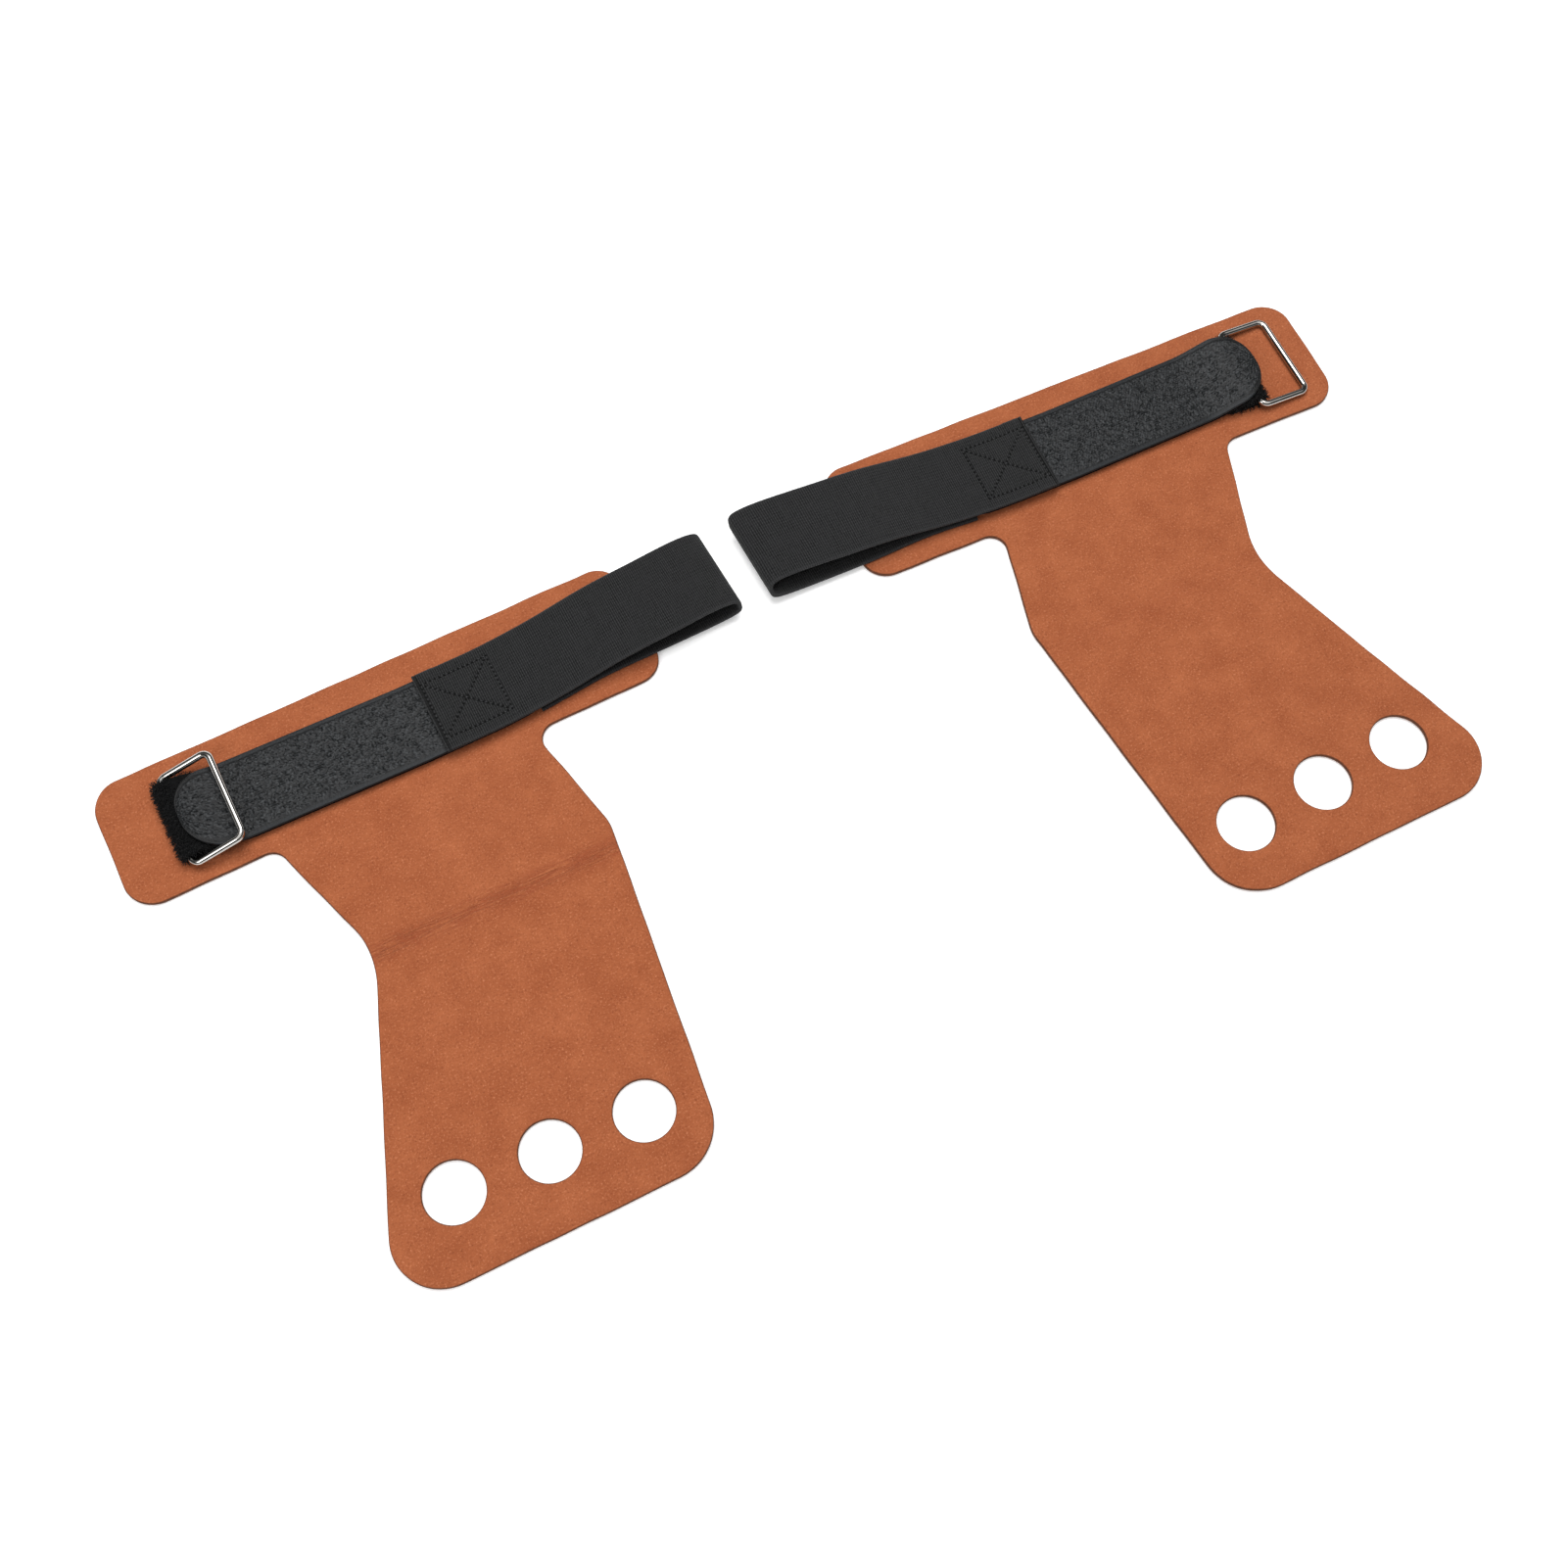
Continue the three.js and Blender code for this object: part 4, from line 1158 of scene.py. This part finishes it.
def fuzz_tree(finish):
    """Short bent fibres scattered over a tape, densest where its fuzz attribute is high."""
    sizes = {"Density": 9.0, "Fibre Length": 1.15, "Fibre Radius": 0.075, "Seed": 11}
    tree, start, end = new_tree("pile_fuzz", sizes)
    worn = node(tree, "GeometryNodeInputNamedAttribute", {"Name": "fuzz"}, data_type="FLOAT").outputs[0]
    thick = maths(tree, "MULTIPLY", start["Density"], worn)
    scatter = {"Mesh": start["Geometry"], "Density": thick, "Seed": start["Seed"]}
    scatter = node(tree, "GeometryNodeDistributePointsOnFaces", scatter)
    bend_inputs = {"Start": (0, 0, -0.1), "Middle": (0.25, 0, 0.6), "End": (0.7, 0, 1.0), "Resolution": 3}
    bend = node(tree, "GeometryNodeCurveQuadraticBezier", bend_inputs).outputs[0]
    tall = node(tree, "ShaderNodeCombineXYZ", {i: start["Fibre Length"] for i in range(3)}).outputs[0]
    bend = node(tree, "GeometryNodeTransform", {"Geometry": bend, "Scale": tall}).outputs[0]
    thread = {"Resolution": 3, "Radius": start["Fibre Radius"]}
    thread = node(tree, "GeometryNodeCurvePrimitiveCircle", thread).outputs[0]
    fibre = {"Curve": bend, "Profile Curve": thread, "Fill Caps": True}
    fibre = node(tree, "GeometryNodeCurveToMesh", fibre).outputs[0]
    spin_inputs = {"Min": (-0.7, -0.7, -3.1), "Max": (0.7, 0.7, 3.1), "Seed": start["Seed"]}
    spin = node(tree, "FunctionNodeRandomValue", spin_inputs, data_type="FLOAT_VECTOR").outputs[0]
    spin = node(tree, "FunctionNodeEulerToRotation", {0: spin}).outputs[0]
    twist = {"Rotation": scatter.outputs["Rotation"], "Rotate By": spin}
    turn = node(tree, "FunctionNodeRotateRotation", twist, rotation_space="LOCAL").outputs[0]
    size = {2: 0.5, 3: 1.2, "Seed": start["Seed"]}
    size = node(tree, "FunctionNodeRandomValue", size, data_type="FLOAT").outputs[1]
    placed = {"Points": scatter.outputs["Points"], "Instance": fibre, "Rotation": turn, "Scale": size}
    instances = node(tree, "GeometryNodeInstanceOnPoints", placed).outputs[0]
    return finish_tree(tree, instances, finish, end)


def ring_tree(finish):
    """A wire ring: a rectangle with rounded corners whose ends butt together in the held bar."""
    sizes = {
        "Width": RING_WIDTH,
        "Reach": RING_REACH,
        "Bend": RING_BEND,
        "Wire Radius": WIRE_DIAMETER / 2,
        "Butt Gap": RING_BUTT_GAP,
    }
    tree, start, end = new_tree("wire_ring", sizes)
    share = node(tree, "GeometryNodeInputIndex").outputs[0]
    line = node(tree, "GeometryNodeMeshLine", {"Count": 6}).outputs[0]
    far = maths(tree, "LESS_THAN", maths(tree, "ABSOLUTE", maths(tree, "SUBTRACT", share, 2.5)), 1.0)
    upper = maths(tree, "SUBTRACT", maths(tree, "MULTIPLY", maths(tree, "LESS_THAN", share, 2.5), 2.0), 1.0)
    inner = maths(tree, "GREATER_THAN", maths(tree, "ABSOLUTE", maths(tree, "SUBTRACT", share, 2.5)), 2.0)
    wide = {0: inner, 2: start["Width"], 3: start["Butt Gap"]}
    wide = node(tree, "ShaderNodeMix", wide).outputs[0]
    y = maths(tree, "MULTIPLY", maths(tree, "MULTIPLY", wide, 0.5), upper)
    x = maths(tree, "MULTIPLY", far, start["Reach"])
    corner = node(tree, "ShaderNodeCombineXYZ", {"X": x, "Y": y}).outputs[0]
    line = node(tree, "GeometryNodeSetPosition", {"Geometry": line, "Position": corner}).outputs[0]
    wire = node(tree, "GeometryNodeMeshToCurve", {"Mesh": line}).outputs[0]
    bends = {"Curve": wire, "Count": 10, "Radius": start["Bend"], "Limit Radius": True}
    wire = node(tree, "GeometryNodeFilletCurve", bends, mode="POLY").outputs[0]
    section = {"Resolution": 20, "Radius": start["Wire Radius"]}
    section = node(tree, "GeometryNodeCurvePrimitiveCircle", section).outputs[0]
    solid = {"Curve": wire, "Profile Curve": section, "Fill Caps": True}
    solid = node(tree, "GeometryNodeCurveToMesh", solid).outputs[0]
    return finish_tree(tree, solid, finish, end)


# ---- One grip ---------------------------------------------------------------------------------------------


def fuzzed(mesh, half_width, bar_x):
    """Marks how fuzzy each point of a pile tape is: most round the wrap, and a little on its upper face."""
    wrap_length, edge_length = 5, 12
    edge_fuzz, face_fuzz = 0.5, 0.10
    values = []
    for vert in mesh.vertices:
        edge = edge_fuzz * smoothstep(abs(vert.co.y), half_width - 1.2, half_width - 0.4)
        edge *= 1 - smoothstep(vert.co.x, bar_x + wrap_length, bar_x + edge_length)
        wrap = 1 - smoothstep(vert.co.x, bar_x, bar_x + wrap_length)
        hidden = vert.co.z < TAPE_Z and vert.co.x > bar_x + 1
        outer = 0.0 if hidden or abs(vert.co.y) > half_width - 2 else face_fuzz
        values.append(max(edge, wrap, outer))
    mesh.attributes.new("fuzz", "FLOAT", "POINT").data.foreach_set("value", values)
    return mesh


def make_leather(side, finishes):
    """The grip's leather, one piece with a shallow trough along its crease."""
    crease = 1.0 if side == "left" else 0.3
    seed = 1 if side == "left" else 2
    mesh = leather_mesh(f"{side}_grip_leather", crease, seed, finishes["suede"])
    leather = piece(f"{side}_grip_leather", mesh, grip_place(side))
    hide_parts(f"{side}_wrist_leather", f"{side}_palm_leather")
    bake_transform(leather)
    outline_area()
    return leather


def make_elastic(side, finishes):
    """The elastic, one strip that runs along the leather, folds, and comes back over itself to the seam."""
    path = elastic_path(side)
    name = f"{side}_elastic_strap"
    half = ELASTIC_WIDTH / 2
    mesh = strip_mesh(
        name, path, ELASTIC_THICKNESS, lambda x: half, 104, finishes["black_elastic"], sewn_elastic(side)
    )
    elastic = piece(name, mesh, strap_place(side))
    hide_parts(f"{side}_elastic_base", f"{side}_elastic_top")
    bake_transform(elastic)
    return elastic


def make_hook_tape(side, finishes, hooks):
    """The hook tape: a pebbled back above, and a field of hooks below that grips the pile."""
    path = hook_path(side)
    name = f"{side}_hook_strip"
    ground = strip_mesh(
        name, path, HOOK_GROUND, tail_half_width, 72, finishes["hook_ground"], pebbled_back(side)
    )
    tape = piece(name, ground, strap_place(side), f"{side}_strap")
    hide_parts(f"{side}_hook_tape")
    length = HOOK_TAPE_END - HOOK_MARGIN - (TAIL_END + HOOK_MARGIN)
    width = HOOK_TAPE_WIDTH - 2 * HOOK_SELVAGE
    underneath = HOOK_LIFT - TAPE_THICKNESS / 2
    field = grown(
        f"{side}_hooks",
        hooks,
        empty_mesh("hook_seed"),
        length=length,
        width=width,
        rows=round(length / HOOK_PITCH_ALONG) + 1,
        columns=round(width / HOOK_PITCH_ACROSS) + 1,
        high=BAR_Z + WRAP_RADIUS + underneath,
        low=TAPE_Z + underneath,
        settle_start=BAR_X[side],
        settle_length=float(SETTLE_LENGTH),
        seed=3 if side == "left" else 5,
    )
    field = drifted(field, side, upper_drift)
    hook_piece = piece(f"{side}_hooks", field, strap_place(side), f"{side}_strap")
    return tape


def make_pile_tape(side, finishes, fuzz):
    """The pile tape, wrapped round the ring's bar, with fuzz where the wrap has frayed."""
    path = pile_path(side)
    half = PILE_TAPE_WIDTH / 2
    name = f"{side}_pile_strip"
    ground = strip_mesh(name, path, TAPE_THICKNESS, lambda x: half, 30, finishes["pile_ground"])
    furry = fuzzed(ground, half, BAR_X[side]).copy()
    fibres = grown(f"{side}_pile_fuzz", fuzz, furry, seed=11 if side == "left" else 17)
    ground, fibres = (drifted(mesh, side, lower_drift) for mesh in (ground, fibres))
    tape = piece(name, ground, strap_place(side), f"{side}_wrist")
    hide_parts(f"{side}_pile_tape")
    fluff = piece(f"{side}_pile_fuzz", fibres, strap_place(side), f"{side}_wrist")
    return tape


def make_stitching(side, stitches):
    """The boxed seam on the elastic and the three seams across the strap, with the undersides of the ring
    and anchor seams.
    """
    top = ELASTIC_TOP_Z + ELASTIC_THICKNESS / 2 - 0.06
    box = grown(f"{side}_box_stitches", stitches, seam_path("box_seam", box_seam_lines(side), top))
    box = drifted(box, side, upper_drift)
    made = piece(f"{side}_box_stitches", box, strap_place(side), f"{side}_strap")
    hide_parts(f"{side}_box_x_stitch")
    for name, seam in CROSS_SEAMS.items():
        lines = cross_seam_lines(seam["x"], seam["width"])
        rows = grown(f"{side}_{name}_stitches", stitches, seam_path(name, lines, seam["z"] + 0.12))
        rows = drifted(rows, side, lower_drift)
        made = piece(f"{side}_{name}_stitches", rows, strap_place(side), f"{side}_wrist")
        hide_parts(f"{side}_{name}")
        if name == "lap_seam":
            continue
        under = grown(f"{side}_{name}_under", stitches, seam_path(name, lines, 0.2), dip=-0.3)
        under = drifted(under, side, lower_drift)
        piece(f"{side}_{name}_under", under, strap_place(side), f"{side}_wrist")


def make_ring(side, ring):
    """The wire ring, leaning from its held bar."""
    wire = grown(f"{side}_wire_ring", ring, empty_mesh("ring_seed"))
    outward = Matrix.Identity(4) if side == "left" else Matrix.Diagonal((-1, 1, 1, 1))
    lean = Matrix.Rotation(RING_LEAN[side], 4, "Y")
    wire.transform(outward @ lean)
    if side == "right":
        wire.flip_normals()
    place = strap_place(side) @ Matrix.Translation((BAR_X[side], RING_SHIFT[side], BAR_Z))
    made = piece(f"{side}_wire_ring", wire, place, f"{side}_ring")
    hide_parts(f"{side}_buckle_ring")
    return made


def make_grip(side, finishes, trees):
    """One whole grip, from the leather up."""
    make_leather(side, finishes)
    make_pile_tape(side, finishes, trees["fuzz"])
    make_hook_tape(side, finishes, trees["hooks"])
    make_elastic(side, finishes)
    make_stitching(side, trees["stitches"])
    make_ring(side, trees["ring"])


# ---- Table and light --------------------------------------------------------------------------------------


def add_table():
    """A wide pale table top just under the leather."""
    half = 3.0
    drop = 0.0002
    mesh = bpy.data.meshes.new("table_top")
    corners = [(-half, -half, -drop), (half, -half, -drop), (half, half, -drop), (-half, half, -drop)]
    mesh.from_pydata(corners, [], [(0, 1, 2, 3)])
    mesh.materials.append(table_paint())
    table = bpy.data.objects.new("table_top", mesh)
    bpy.context.scene.collection.objects.link(table)


def add_softbox(name, place, size, power, target=(0, 0, 0)):
    """A square soft light aimed at a point."""
    light = bpy.data.lights.new(name, "AREA")
    light.shape = "SQUARE"
    light.size = size
    light.energy = power
    lamp = bpy.data.objects.new(name, light)
    bpy.context.scene.collection.objects.link(lamp)
    lamp.location = place
    lamp.rotation_mode = "QUATERNION"
    lamp.rotation_quaternion = (Vector(target) - Vector(place)).to_track_quat("-Z", "Y")


def add_light():
    """A bright ceiling, a dim band and a pale horizon, with one softbox overhead and one to the side."""
    world = bpy.data.worlds.new("studio")
    bpy.context.scene.world = world
    world.use_nodes = True
    tree = world.node_tree
    up = node(tree, "ShaderNodeTexCoord").outputs["Generated"]
    rise = node(tree, "ShaderNodeSeparateXYZ", {0: up}).outputs["Z"]
    ceiling = ranged(tree, rise, 0.70, 0.88, 0.0, 1.25, smooth=True)
    horizon = ranged(tree, rise, 0.16, 0.34, 0.48, 0.06, smooth=True)
    glow = maths(tree, "ADD", ceiling, horizon)
    tree.links.new(glow, tree.nodes["Background"].inputs["Strength"])
    tree.nodes["Background"].inputs["Color"].default_value = (1, 1, 1, 1)
    add_softbox("overhead", (0.10, 0.35, 1.2), 0.8, 11.3)
    add_softbox("side", (-0.9, -0.35, 0.9), 0.5, 3.8)


# ---- The scene --------------------------------------------------------------------------------------------


def main():
    add_camera()
    bpy.context.scene.view_settings.view_transform = "Standard"
    add_light()
    add_table()
    finishes = {
        "suede": suede(),
        "black_elastic": black_elastic(),
        "hook_ground": woven_ground(),
        "pile_ground": pile_ground(),
    }
    trees = {
        "hooks": hooks_tree(hook_nylon()),
        "fuzz": fuzz_tree(pile_fibre()),
        "stitches": stitches_tree(black_thread()),
        "ring": ring_tree(gunmetal()),
    }
    for side in ("left", "right"):
        make_grip(side, finishes, trees)


main()
